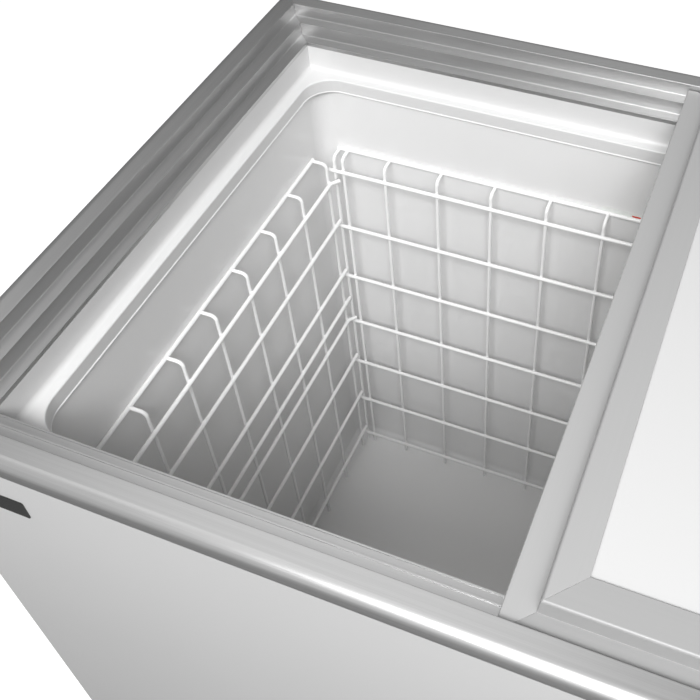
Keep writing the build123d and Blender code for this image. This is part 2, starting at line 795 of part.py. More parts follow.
blade_count = 5
with BuildPart() as fan_rotor:
    with BuildSketch(Plane.YZ.offset(shroud_x - 43)):
        with Locations((condenser_y, condenser_z)):
            Circle(2.5)
    extrude(amount=20.0)
    with BuildSketch(Plane.YZ.offset(shroud_x - 27)):
        with Locations((condenser_y, condenser_z)):
            Circle(hub_radius)
    extrude(amount=16.0)
    fillet(fan_rotor.faces().sort_by(Axis.X)[-1].edges(), radius=3.0)
    for blade in range(blade_count):
        blade_turn = 360.0 / blade_count * blade
        out = Vector(0, cos(radians(blade_turn)), sin(radians(blade_turn)))
        root = Vector(shroud_x - 19, condenser_y, condenser_z) + out * 17
        pitch_dir = Vector(1, 0, 0).rotate(Axis((0, 0, 0), out), 55)
        with BuildSketch(Plane(origin=root, x_dir=pitch_dir, z_dir=out)):
            Rectangle(1.6, 24.0)
        with BuildSketch(Plane(origin=root + out * (fan_radius - 17), x_dir=pitch_dir, z_dir=out)):
            Rectangle(1.6, 30.0)
        loft()
write_part(fan_rotor, "fan_rotor")

# Filter drier and the two refrigerant lines
drier_x = 440.0
drier_y = -20.0
with BuildPart() as filter_drier:
    with BuildSketch(Plane.XY.offset(110)):
        with Locations((drier_x, drier_y)):
            Circle(10.0)
    extrude(amount=86.0)
    fillet(filter_drier.edges().filter_by(GeomType.CIRCLE), radius=7.0)
    with BuildSketch(Plane.XY.offset(96)):
        with Locations((drier_x, drier_y)):
            Circle(3.0)
    extrude(amount=114.0)
write_part(filter_drier, "filter_drier")

discharge_route = [
    (compressor_x + 30, compressor_y - 98.0, shell_level + 60),
    (compressor_x + 30, compressor_y - 135.0, shell_level + 60),
    (condenser_x, compressor_y - 135.0, shell_level + 60),
    (condenser_x, compressor_y - 135.0, 235.0),
    (condenser_x, condenser_y + 60.0, 235.0),
]
write_part(build_pipe(discharge_route, 3.0, 12.0), "discharge_line")

suction_route = [
    (compressor_x - 40, compressor_y + 96.0, shell_level + 60),
    (compressor_x - 40, compressor_y + 130.0, shell_level + 60),
    (compressor_x - 40, compressor_y + 130.0, 240.0),
    (machine_start + 4, compressor_y + 130.0, 240.0),
]
write_part(build_pipe(suction_route, 4.0, 14.0), "suction_line")

# Ventilation grille

grille_border = 12.0
grille_thickness = 2.5
slat_count = 13
grille_face = body_half_x + 1.4
with BuildPart() as side_grille:
    with BuildSketch(Plane.YZ.offset(grille_face)):
        with Locations((grille_y, grille_z)):
            RectangleRounded(grille_width + 14, grille_height + 14, 5.0)
            Rectangle(grille_width - grille_border, grille_height - grille_border, mode=Mode.SUBTRACT)
    extrude(amount=-1.3)
    with BuildSketch(Plane.YZ.offset(grille_face - 0.5)):
        with Locations((grille_y, grille_z)):
            Rectangle(grille_width - 1, grille_height - 1)
            Rectangle(grille_width - grille_border, grille_height - grille_border, mode=Mode.SUBTRACT)
    extrude(amount=-8.0)
    slat_pitch = (grille_height - grille_border) / slat_count
    for slat in range(slat_count):
        slat_z = grille_z - (grille_height - grille_border) / 2 + slat_pitch * (slat + 0.5)
        with BuildSketch(Plane.XZ.offset(-grille_y - (grille_width - grille_border) / 2 - 0.5)):
            with BuildLine():
                Polyline(
                    (grille_face - 0.2, slat_z - 5.5),
                    (grille_face - 0.2, slat_z - 3.3),
                    (grille_face - 8.0, slat_z + 4.6),
                    (grille_face - 8.0, slat_z + 2.4),
                    close=True,
                )
            make_face()
        extrude(amount=grille_width - grille_border + 1)
    for bar_y in (grille_y - grille_width / 6, grille_y + grille_width / 6):
        with BuildSketch(Plane.YZ.offset(grille_face - 3.0)):
            with Locations((bar_y, grille_z)):
                Rectangle(3.0, grille_height - grille_border + 1)
        extrude(amount=-5.4)
write_part(side_grille, "side_grille")

screw_head_radius = 3.6
screw_head_height = 1.8
with BuildPart() as grille_screws:
    with BuildSketch(Plane.YZ.offset(grille_face + 0.02)):
        with Locations((grille_y, grille_z)):
            with GridLocations(grille_width + 1.5, grille_height + 1.5, 2, 2):
                Circle(screw_head_radius)
    extrude(amount=screw_head_height)
    fillet(grille_screws.faces().sort_by(Axis.X)[-4:].edges(), radius=0.9)
write_part(grille_screws, "grille_screws")

# Control panel

recess_depth = 15.0
lamp_radius = 4.0
spindle_radius = 3.0
knob_height = 9.0
recess_floor = -body_half_y + recess_depth
knob_x = control_x - 38.0
lamp_spots = ((control_x + 22.0, control_z), (control_x + 42.0, control_z))
with BuildPart() as control_panel:
    with BuildSketch(Plane.XZ.offset(body_half_y + 0.1)):
        with Locations((control_x, control_z)):
            RectangleRounded(control_width + 14, control_height + 14, 6.0)
            RectangleRounded(control_width - 5, control_height - 5, 8.0, mode=Mode.SUBTRACT)
    extrude(amount=1.6)
    rim_level = -body_half_y - 1.7
    fillet(control_panel.edges().filter_by_position(Axis.Y, rim_level - 0.01, rim_level + 0.01), radius=0.8)
    with BuildSketch(Plane.XZ.offset(body_half_y + 0.2)):
        with Locations((control_x, control_z)):
            RectangleRounded(control_width - 1, control_height - 1, 9.0)
            RectangleRounded(control_width - 5, control_height - 5, 8.0, mode=Mode.SUBTRACT)
    extrude(amount=-recess_depth - 2.0)
    with BuildSketch(Plane.XZ.offset(-recess_floor)):
        with Locations((control_x, control_z)):
            RectangleRounded(control_width - 4, control_height - 4, 8.5)
        with Locations((knob_x, control_z)):
            Circle(spindle_radius + 0.1, mode=Mode.SUBTRACT)
        with Locations(*lamp_spots):
            Circle(lamp_radius + 0.1, mode=Mode.SUBTRACT)
    extrude(amount=-2.0)
write_part(control_panel, "control_panel")

with BuildPart() as thermostat_body:
    with BuildSketch(Plane.XZ.offset(-recess_floor - 2.3)):
        with Locations((knob_x, control_z)):
            RectangleRounded(44.0, 34.0, 2.0)
            Circle(spindle_radius + 0.05, mode=Mode.SUBTRACT)
    extrude(amount=-26.0)
    with BuildSketch(Plane.XZ.offset(-recess_floor - 2.3 - 20)):
        with Locations((knob_x, control_z)):
            Rectangle(44.0, 34.0)
    extrude(amount=-12.0)
write_part(thermostat_body, "thermostat_body")

knob_radius = 17.0
flute_count = 24
with BuildPart() as thermostat_knob:
    with BuildSketch(Plane.XZ.offset(-recess_floor + 0.5)):
        with Locations((knob_x, control_z)):
            Circle(knob_radius)
            with PolarLocations(knob_radius + 0.8, flute_count):
                Circle(1.6, mode=Mode.SUBTRACT)
    extrude(amount=knob_height)
    with BuildSketch(Plane.XZ.offset(-recess_floor + 0.5 + knob_height)):
        with Locations((knob_x, control_z)):
            Circle(knob_radius - 2.5)
    extrude(amount=3.0)
    fillet(thermostat_knob.faces().sort_by(Axis.Y)[0].edges(), radius=1.2)
    with BuildSketch(Plane.XZ.offset(-recess_floor + 12.4)):
        with Locations((knob_x, control_z + 7.0)):
            SlotOverall(9.0, 2.2, rotation=90)
    extrude(amount=1.2)
    with BuildSketch(Plane.XZ.offset(-recess_floor + 0.6)):
        with Locations((knob_x, control_z)):
            Circle(spindle_radius)
    extrude(amount=-14.0)
write_part(thermostat_knob, "thermostat_knob")

with BuildPart() as indicator_lamps:
    with BuildSketch(Plane.XZ.offset(-recess_floor - 1.8)):
        with Locations(*lamp_spots):
            Circle(lamp_radius)
    extrude(amount=4.6)
    fillet(indicator_lamps.faces().sort_by(Axis.Y)[:2].edges(), radius=1.8)
write_part(indicator_lamps, "indicator_lamps")

with BuildPart() as cord_gland:
    with BuildSketch(Plane.XZ.offset(-body_half_y - 0.1)):
        with Locations(gland_spot):
            Circle(13.0)
    extrude(amount=-3.5)
    fillet(cord_gland.faces().sort_by(Axis.Y)[-1].edges(), radius=1.2)
    with BuildSketch(Plane.XZ.offset(-body_half_y - 0.2)):
        with Locations(gland_spot):
            Circle(gland_hole_radius - 0.3)
    extrude(amount=10.0)
    with BuildSketch(Plane.XZ.offset(-body_half_y - 6)):
        with Locations(gland_spot):
            Circle(cord_bore_radius)
    extrude(amount=30.0, mode=Mode.SUBTRACT)
write_part(cord_gland, "cord_gland")

# Sliding lids

# Sections are drawn from the outer edge of the lid inward, and from the track it rides on upward.
upper_flange_width = 12.2
upper_riser_lean = 1.7
upper_ridge = 22.4
ridge_round = 2.4
lip_round = 1.2
upper_inner_edge = 25.8
flange_top = 8.8
rail_bottom = 1.6
frame_wall = 1.6
lower_flange_width = 8.0
lower_top = 12.6
lower_riser_lean = 1.6
lower_drop = -12.0
lower_web = (14.5, 16.1)
lower_foot = 24.0
upper_foot = 30.0


def upper_section(lip):
    """Channel that holds the edge of the upper lid's panel; lip widens its flange outward."""
    return [
        (-lip, rail_bottom),
        (-lip, flange_top),
        (upper_flange_width, flange_top),
        (upper_flange_width + upper_riser_lean, upper_ridge),
        (rail_width, upper_inner_edge),
        (rail_width, upper_inner_edge - frame_wall),
        (upper_flange_width + upper_riser_lean + 1.3, upper_ridge - frame_wall),
        (upper_flange_width + 1.4, flange_top - frame_wall),
        (-lip + frame_wall, flange_top - frame_wall),
        (-lip + frame_wall, rail_bottom + frame_wall),
        (upper_foot, rail_bottom + frame_wall),
        (upper_foot, rail_bottom),
    ]


def lower_section(lip):
    """Channel of the lower lid: flat top that passes under the upper lid, panel hung into the well."""
    return [
        (-lip, rail_bottom),
        (-lip, flange_top),
        (lower_flange_width, flange_top),
        (lower_flange_width + lower_riser_lean, lower_top),
        (rail_width, lower_top),
        (rail_width, lower_top - frame_wall),
        (lower_flange_width + 3.0, lower_top - frame_wall),
        (lower_flange_width + 1.4, flange_top - frame_wall),
        (-lip + frame_wall, flange_top - frame_wall),
        (-lip + frame_wall, rail_bottom + frame_wall),
        (lower_web[1], rail_bottom + frame_wall),
        (lower_web[1], lower_drop + frame_wall),
        (lower_foot, lower_drop + frame_wall),
        (lower_foot, lower_drop),
        (lower_web[0], lower_drop),
        (lower_web[0], rail_bottom),
    ]


def build_lid_rail(section, side, outline, level, lip, ridge):
    """One mitred side of a lid's frame.  The ridge is given as (inset, level, round)."""
    plane, run = rail_plane(side, *outline, level)
    with BuildPart() as rail:
        with BuildSketch(plane):
            with BuildLine():
                Polyline(section(lip), close=True)
            make_face()
        extrude(amount=run)
        ridge_inset, ridge_level, ridge_radius = ridge
        fillet(edges_along(rail, plane, ridge_inset, ridge_level), radius=ridge_radius)
        fillet(edges_along(rail, plane, -lip, flange_top), radius=lip_round)
        cut_mitres(plane, run)
    return rail


def build_lid_block(outline, level, layers):
    """A stack of flat layers, each given as (inset, bottom, top) above the track."""
    x_low, x_high, y_low, y_high = outline
    with BuildPart() as block:
        for inset, bottom, top in layers:
            with BuildSketch(Plane.XY.offset(level + bottom)):
                with Locations(((x_low + x_high) / 2, (y_low + y_high) / 2)):
                    Rectangle(x_high - x_low - 2 * inset, y_high - y_low - 2 * inset)
            extrude(amount=top - bottom)
    return block


def build_glides(outline, level):
    """Two plastic strips under the long edges of a lid."""
    x_low, x_high, y_low, y_high = outline
    with BuildPart() as glides:
        with BuildSketch(Plane.XY.offset(level + 0.3)):
            for edge_y, y_align in ((y_low + 2, Align.MIN), (y_high - 2, Align.MAX)):
                with Locations(((x_low + x_high) / 2, edge_y)):
                    Rectangle(x_high - x_low - 60, 7.5, align=(Align.CENTER, y_align))
        extrude(amount=rail_bottom - 0.35)
    return glides


upper_level = rim_height - track_drop
lower_level = rim_height - 2 * track_drop
upper_outline = (
    upper_lid_left + stile_lip,
    half_length - track_inset - lid_end_clearance,
    -half_depth + track_inset + lid_side_clearance,
    half_depth - track_inset - lid_side_clearance,
)
lower_outline = (
    lower_lid_left,
    half_length - lower_track_inset - lid_end_clearance - stile_lip,
    -half_depth + lower_track_inset + lid_side_clearance,
    half_depth - lower_track_inset - lid_side_clearance,
)

upper_ridge_shape = (upper_flange_width + upper_riser_lean, upper_ridge, ridge_round)
lower_ridge_shape = (lower_flange_width + lower_riser_lean, lower_top, lip_round)
for lid_side in ("front", "rear", "left", "right"):
    upper_lip = stile_lip if lid_side == "left" else 0.0
    lower_lip = stile_lip if lid_side == "right" else 0.0
    upper_rail = build_lid_rail(
        upper_section, lid_side, upper_outline, upper_level, upper_lip, upper_ridge_shape
    )
    lower_rail = build_lid_rail(
        lower_section, lid_side, lower_outline, lower_level, lower_lip, lower_ridge_shape
    )
    write_part(upper_rail, f"upper_lid_{lid_side}_rail")
    write_part(lower_rail, f"lower_lid_{lid_side}_rail")

upper_core_layers = ((16.5, 3.4, 20.0), (rail_width - 1.5, 19.9, 22.7))
lower_core_layers = ((16.4, lower_drop + 1.8, 9.6),)
write_part(build_lid_block(upper_outline, upper_level, upper_core_layers), "upper_lid_core")
write_part(build_lid_block(lower_outline, lower_level, lower_core_layers), "lower_lid_core")
write_part(build_lid_block(upper_outline, upper_level, ((rail_width - 1.8, 22.8, 23.8),)), "upper_lid_skin")
write_part(build_lid_block(lower_outline, lower_level, ((rail_width - 3.0, 9.7, 10.8),)), "lower_lid_skin")
write_part(build_glides(upper_outline, upper_level), "upper_lid_glides")
write_part(build_glides(lower_outline, lower_level), "lower_lid_glides")
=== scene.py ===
import json
import math

import bpy
from mathutils import Matrix, Vector


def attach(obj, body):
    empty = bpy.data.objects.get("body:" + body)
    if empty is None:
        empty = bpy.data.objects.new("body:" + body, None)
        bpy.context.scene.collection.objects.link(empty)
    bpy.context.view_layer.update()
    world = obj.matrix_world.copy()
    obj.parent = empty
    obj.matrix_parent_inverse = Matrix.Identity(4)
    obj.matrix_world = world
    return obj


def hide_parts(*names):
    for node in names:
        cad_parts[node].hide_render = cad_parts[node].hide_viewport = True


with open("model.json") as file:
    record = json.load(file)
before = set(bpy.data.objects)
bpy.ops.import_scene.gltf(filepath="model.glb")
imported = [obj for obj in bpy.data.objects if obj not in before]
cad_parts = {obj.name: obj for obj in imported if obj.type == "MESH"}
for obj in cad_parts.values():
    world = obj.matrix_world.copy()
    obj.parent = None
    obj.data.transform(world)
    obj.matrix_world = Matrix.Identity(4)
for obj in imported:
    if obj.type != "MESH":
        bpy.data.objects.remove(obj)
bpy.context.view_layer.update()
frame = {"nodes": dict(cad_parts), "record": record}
print("frame loaded:", len(frame["nodes"]), "nodes")

scene = bpy.context.scene
scene.view_settings.view_transform = "Standard"
scene.view_settings.look = "None"

# where the camera stands, what it looks at and how far it leans
viewpoint = {
    "place": (0.0332, -0.5607, 1.4519),
    "target": (-0.2723, 0.1920, 0.6200),
    "roll": -1.188,  # degrees, positive lifts the right-hand side
    "lens": 50.56,
    "shift": (-0.139, -0.1336),
}


def makeCamera(view):
    data = bpy.data.cameras.new("camera")
    data.sensor_width = 36
    data.lens = view["lens"]
    data.shift_x, data.shift_y = view["shift"]
    data.clip_start = 0.02
    data.clip_end = 60
    camera = bpy.data.objects.new("camera", data)
    scene.collection.objects.link(camera)
    ahead = (Vector(view["target"]) - Vector(view["place"])).normalized()
    level = ahead.cross(Vector((0, 0, 1))).normalized()
    upright = level.cross(ahead)
    lean = math.radians(view["roll"])
    right = level * math.cos(lean) + upright * math.sin(lean)
    up = upright * math.cos(lean) - level * math.sin(lean)
    turn = Matrix((right, up, -ahead)).transposed().to_4x4()
    camera.matrix_world = Matrix.Translation(view["place"]) @ turn
    scene.camera = camera


makeCamera(viewpoint)


# small helpers for shader trees
def addNode(tree, kind, at=(0, 0), **settings):
    node = tree.nodes.new(kind)
    node.location = at
    for name, value in settings.items():
        setattr(node, name, value)
    return node


def wire(tree, start, end):
    tree.links.new(start, end)


def mathNode(tree, operation, a, b=None, clamp=False, at=(0, 0)):
    node = addNode(tree, "ShaderNodeMath", at, operation=operation, use_clamp=clamp)
    for socket, value in zip(node.inputs, (a, b)):
        if value is None:
            continue
        if isinstance(value, (int, float)):
            socket.default_value = value
        else:
            wire(tree, value, socket)
    return node.outputs[0]


def newGroup(name, inputs, outputs):
    group = bpy.data.node_groups.new(name, "ShaderNodeTree")
    for label, kind, default in inputs:
        socket = group.interface.new_socket(name=label, in_out="INPUT", socket_type=kind)
        socket.default_value = default
    for label, kind in outputs:
        group.interface.new_socket(name=label, in_out="OUTPUT", socket_type=kind)
    start = addNode(group, "NodeGroupInput", (-900, 0))
    end = addNode(group, "NodeGroupOutput", (700, 0))
    return group, start, end


number = "NodeSocketFloat"
vector = "NodeSocketVector"


def noiseOn(tree, coordinates, scale, detail, rough, at):
    noise = addNode(tree, "ShaderNodeTexNoise", at)
    wire(tree, coordinates, noise.inputs["Vector"])
    if isinstance(scale, (int, float)):
        noise.inputs["Scale"].default_value = scale
    else:
        wire(tree, scale, noise.inputs["Scale"])
    noise.inputs["Detail"].default_value = detail
    noise.inputs["Roughness"].default_value = rough
    return noise.outputs["Fac"]


def spread(tree, value, low, high, at=(0, 0)):
    ramp = addNode(tree, "ShaderNodeMapRange", at, clamp=False)
    wire(tree, value, ramp.inputs["Value"])
    for label, amount in (("From Min", 0.25), ("From Max", 0.75), ("To Min", low), ("To Max", high)):
        ramp.inputs[label].default_value = amount
    return ramp.outputs["Result"]


def buildLineGroup():
    # drawn or brushed lines: noise pulled out along one axis
    group, start, end = newGroup(
        "drawnLines",
        [("Coordinates", vector, (0, 0, 0)), ("Squeeze", vector, (1, 1, 1)), ("Fineness", number, 900.0)],
        [("Lines", number), ("Bands", number)],
    )
    squeeze = addNode(group, "ShaderNodeVectorMath", (-700, 0), operation="MULTIPLY")
    wire(group, start.outputs["Coordinates"], squeeze.inputs[0])
    wire(group, start.outputs["Squeeze"], squeeze.inputs[1])
    fine = noiseOn(group, squeeze.outputs[0], start.outputs["Fineness"], 3, 0.6, (-400, 100))
    wide = mathNode(group, "MULTIPLY", start.outputs["Fineness"], 0.16)
    bands = noiseOn(group, squeeze.outputs[0], wide, 2, 0.5, (-400, -100))
    wire(group, fine, end.inputs["Lines"])
    wire(group, bands, end.inputs["Bands"])
    return group


def buildDriftGroup():
    # slow uneven tone, plus a few faint wipe marks
    group, start, end = newGroup(
        "slowDrift",
        [("Coordinates", vector, (0, 0, 0)), ("Size", number, 6.0)],
        [("Drift", number), ("Wipe", number)],
    )
    drift = noiseOn(group, start.outputs["Coordinates"], start.outputs["Size"], 4, 0.55, (-500, 100))
    bend = addNode(group, "ShaderNodeVectorMath", (-500, -150), operation="MULTIPLY")
    wire(group, start.outputs["Coordinates"], bend.inputs[0])
    bend.inputs[1].default_value = (1.0, 2.6, 1.7)
    wideSize = mathNode(group, "MULTIPLY", start.outputs["Size"], 3.1)
    wipe = noiseOn(group, bend.outputs[0], wideSize, 6, 0.7, (-300, -150))
    sharp = addNode(group, "ShaderNodeMapRange", (-100, -150), interpolation_type="SMOOTHSTEP")
    wire(group, wipe, sharp.inputs["Value"])
    sharp.inputs["From Min"].default_value = 0.3
    sharp.inputs["From Max"].default_value = 0.8
    wire(group, drift, end.inputs["Drift"])
    wire(group, sharp.outputs["Result"], end.inputs["Wipe"])
    return group


def buildPeelGroup():
    # the skin of sprayed paint or moulded plastic
    group, start, end = newGroup(
        "surfacePeel",
        [("Coordinates", vector, (0, 0, 0)), ("Fineness", number, 260.0)],
        [("Height", number)],
    )
    soft = noiseOn(group, start.outputs["Coordinates"], start.outputs["Fineness"], 1.5, 0.45, (-500, 100))
    quick = mathNode(group, "MULTIPLY", start.outputs["Fineness"], 4.3)
    fine = noiseOn(group, start.outputs["Coordinates"], quick, 2, 0.5, (-500, -150))
    less = mathNode(group, "MULTIPLY", fine, 0.25)
    both = mathNode(group, "ADD", soft, less)
    wire(group, both, end.inputs["Height"])
    return group


def buildEdgeGroup():
    # 1 on sharp edges, 0 on flats
    group, start, end = newGroup(
        "edgeMask",
        [("Width", number, 0.0008), ("Coordinates", vector, (0, 0, 0)), ("Breakup", number, 60.0)],
        [("Edge", number)],
    )
    bevel = addNode(group, "ShaderNodeBevel", (-600, 0), samples=4)
    wire(group, start.outputs["Width"], bevel.inputs["Radius"])
    geometry = addNode(group, "ShaderNodeNewGeometry", (-600, -200))
    dot = addNode(group, "ShaderNodeVectorMath", (-400, 0), operation="DOT_PRODUCT")
    wire(group, bevel.outputs["Normal"], dot.inputs[0])
    wire(group, geometry.outputs["Normal"], dot.inputs[1])
    edge = addNode(group, "ShaderNodeMapRange", (-200, 0), interpolation_type="SMOOTHSTEP")
    wire(group, dot.outputs["Value"], edge.inputs["Value"])
    edge.inputs["From Min"].default_value = 0.995
    edge.inputs["From Max"].default_value = 0.86
    broken = noiseOn(group, start.outputs["Coordinates"], start.outputs["Breakup"], 5, 0.65, (-400, -350))
    worn = spread(group, broken, 0.15, 1.0, (-200, -350))
    both = mathNode(group, "MULTIPLY", edge.outputs["Result"], worn, clamp=True)
    wire(group, both, end.inputs["Edge"])
    return group


def buildSpeckGroup():
    # sparse dust and pin holes
    group, start, end = newGroup(
        "dustSpecks",
        [("Coordinates", vector, (0, 0, 0)), ("Fineness", number, 90.0), ("Amount", number, 0.06)],
        [("Specks", number)],
    )
    cells = addNode(group, "ShaderNodeTexVoronoi", (-600, 0))
    wire(group, start.outputs["Coordinates"], cells.inputs["Vector"])
    wire(group, start.outputs["Fineness"], cells.inputs["Scale"])
    near = addNode(group, "ShaderNodeMapRange", (-350, 0), interpolation_type="SMOOTHSTEP")
    wire(group, cells.outputs["Distance"], near.inputs["Value"])
    wire(group, start.outputs["Amount"], near.inputs["From Min"])
    near.inputs["From Max"].default_value = 0.0
    pick = addNode(group, "ShaderNodeSeparateColor", (-350, -250))
    wire(group, cells.outputs["Color"], pick.inputs["Color"])
    some = mathNode(group, "GREATER_THAN", pick.outputs["Red"], 0.7)
    both = mathNode(group, "MULTIPLY", near.outputs["Result"], some)
    wire(group, both, end.inputs["Specks"])
    return group


lineGroup = buildLineGroup()
driftGroup = buildDriftGroup()
peelGroup = buildPeelGroup()
edgeGroup = buildEdgeGroup()
speckGroup = buildSpeckGroup()


def place(tree, group, at, **values):
    node = addNode(tree, "ShaderNodeGroup", at)
    node.node_tree = group
    for label, value in values.items():
        if isinstance(value, (int, float, tuple)):
            node.inputs[label].default_value = value
        else:
            wire(tree, value, node.inputs[label])
    return node


def mixColour(tree, factor, a, b, blend="MIX", at=(0, 0)):
    node = addNode(tree, "ShaderNodeMix", at, data_type="RGBA", blend_type=blend)
    for label, value in (("Factor", factor), ("A", a), ("B", b)):
        socket = next(s for s in node.inputs if s.name == label and s.enabled)
        if isinstance(value, (int, float)):
            socket.default_value = value
        elif isinstance(value, tuple):
            socket.default_value = (*value, 1.0)
        else:
            wire(tree, value, socket)
    return next(s for s in node.outputs if s.enabled)


def newMaterial(name, recipe):
    # one finish: tone, sheen of the surface, its texture, its wear
    material = bpy.data.materials.new(name)
    material.use_nodes = True
    tree = material.node_tree
    tree.nodes.clear()
    output = addNode(tree, "ShaderNodeOutputMaterial", (900, 0))
    shader = addNode(tree, "ShaderNodeBsdfPrincipled", (600, 0))
    wire(tree, shader.outputs["BSDF"], output.inputs["Surface"])
    shader.inputs["Metallic"].default_value = recipe.get("metal", 0.0)
    shader.inputs["IOR"].default_value = recipe.get("ior", 1.5)
    shader.inputs["Coat Weight"].default_value = recipe.get("coat", 0.0)
    shader.inputs["Coat Roughness"].default_value = recipe.get("coatRough", 0.1)
    shader.inputs["Specular IOR Level"].default_value = recipe.get("specular", 0.5)
    where = addNode(tree, "ShaderNodeTexCoord", (-1200, 0)).outputs["Object"]
    tone = recipe["tone"]
    drift = place(tree, driftGroup, (-900, 200), Coordinates=where, Size=recipe.get("driftSize", 5.0))
    shade = tuple(c * (1 - recipe.get("drift", 0.05)) for c in tone)
    base = mixColour(tree, drift.outputs["Drift"], shade, tone, at=(-500, 200))
    low, high = recipe["rough"]
    rough = spread(tree, drift.outputs["Drift"], low, high, (-500, 0))
    height = place(
        tree, peelGroup, (-900, -300), Coordinates=where, Fineness=recipe.get("peelSize", 260.0)
    ).outputs["Height"]
    bumpDepth = recipe.get("peel", 0.00002)
    if "lines" in recipe:
        lines = place(
            tree, lineGroup, (-900, 0), Coordinates=where, Squeeze=recipe["lines"],
            Fineness=recipe.get("lineSize", 2600.0),
        )
        lineShade = tuple(c * (1 - recipe.get("lineTone", 0.12)) for c in (1, 1, 1))
        stripe = mixColour(tree, lines.outputs["Lines"], lineShade, (1, 1, 1), at=(-500, 400))
        base = mixColour(tree, 1.0, base, stripe, "MULTIPLY", (-300, 300))
        band = mixColour(tree, lines.outputs["Bands"], lineShade, (1, 1, 1), at=(-500, 550))
        base = mixColour(tree, 0.6, base, band, "MULTIPLY", (-100, 300))
        extra = spread(tree, lines.outputs["Lines"], -0.03, 0.05, (-500, -150))
        rough = mathNode(tree, "ADD", rough, extra, clamp=True)
        height = lines.outputs["Lines"]
        bumpDepth = recipe.get("lineDepth", 0.000012)
    wipe = mathNode(tree, "MULTIPLY", drift.outputs["Wipe"], recipe.get("wipe", 0.015))
    rough = mathNode(tree, "ADD", rough, wipe, clamp=True)
    if recipe.get("specks", 0) > 0:
        specks = place(
            tree, speckGroup, (-900, -500), Coordinates=where, Fineness=recipe.get("speckSize", 90.0),
            Amount=0.08,
        )
        amount = mathNode(tree, "MULTIPLY", specks.outputs["Specks"], recipe["specks"])
        base = mixColour(tree, amount, base, recipe.get("speckTone", (0.25, 0.25, 0.24)), at=(100, 300))
    if recipe.get("edge", 0) > 0:
        edge = place(
            tree, edgeGroup, (-900, -700), Coordinates=where, Width=recipe.get("edgeWidth", 0.0008)
        )
        worn = mathNode(tree, "MULTIPLY", edge.outputs["Edge"], recipe["edge"])
        base = mixColour(tree, worn, base, recipe["edgeTone"], at=(250, 300))
    bump = addNode(tree, "ShaderNodeBump", (300, -300))
    bump.inputs["Strength"].default_value = recipe.get("bump", 0.6)
    bump.inputs["Distance"].default_value = bumpDepth
    wire(tree, height, bump.inputs["Height"])
    if "round" in recipe:
        soften = addNode(tree, "ShaderNodeBevel", (0, -500), samples=4)
        soften.inputs["Radius"].default_value = recipe["round"]
        wire(tree, soften.outputs["Normal"], bump.inputs["Normal"])
    wire(tree, bump.outputs["Normal"], shader.inputs["Normal"])
    if "grain" in recipe:
        # drawn metal throws its shine across the lines
        across = addNode(tree, "ShaderNodeTangent", (300, -500), direction_type="RADIAL",
                         axis=recipe["grain"])
        shader.inputs["Anisotropic"].default_value = recipe["pull"]
        wire(tree, across.outputs[0], shader.inputs["Tangent"])
    wire(tree, base, shader.inputs["Base Color"])
    wire(tree, rough, shader.inputs["Roughness"])
    return material


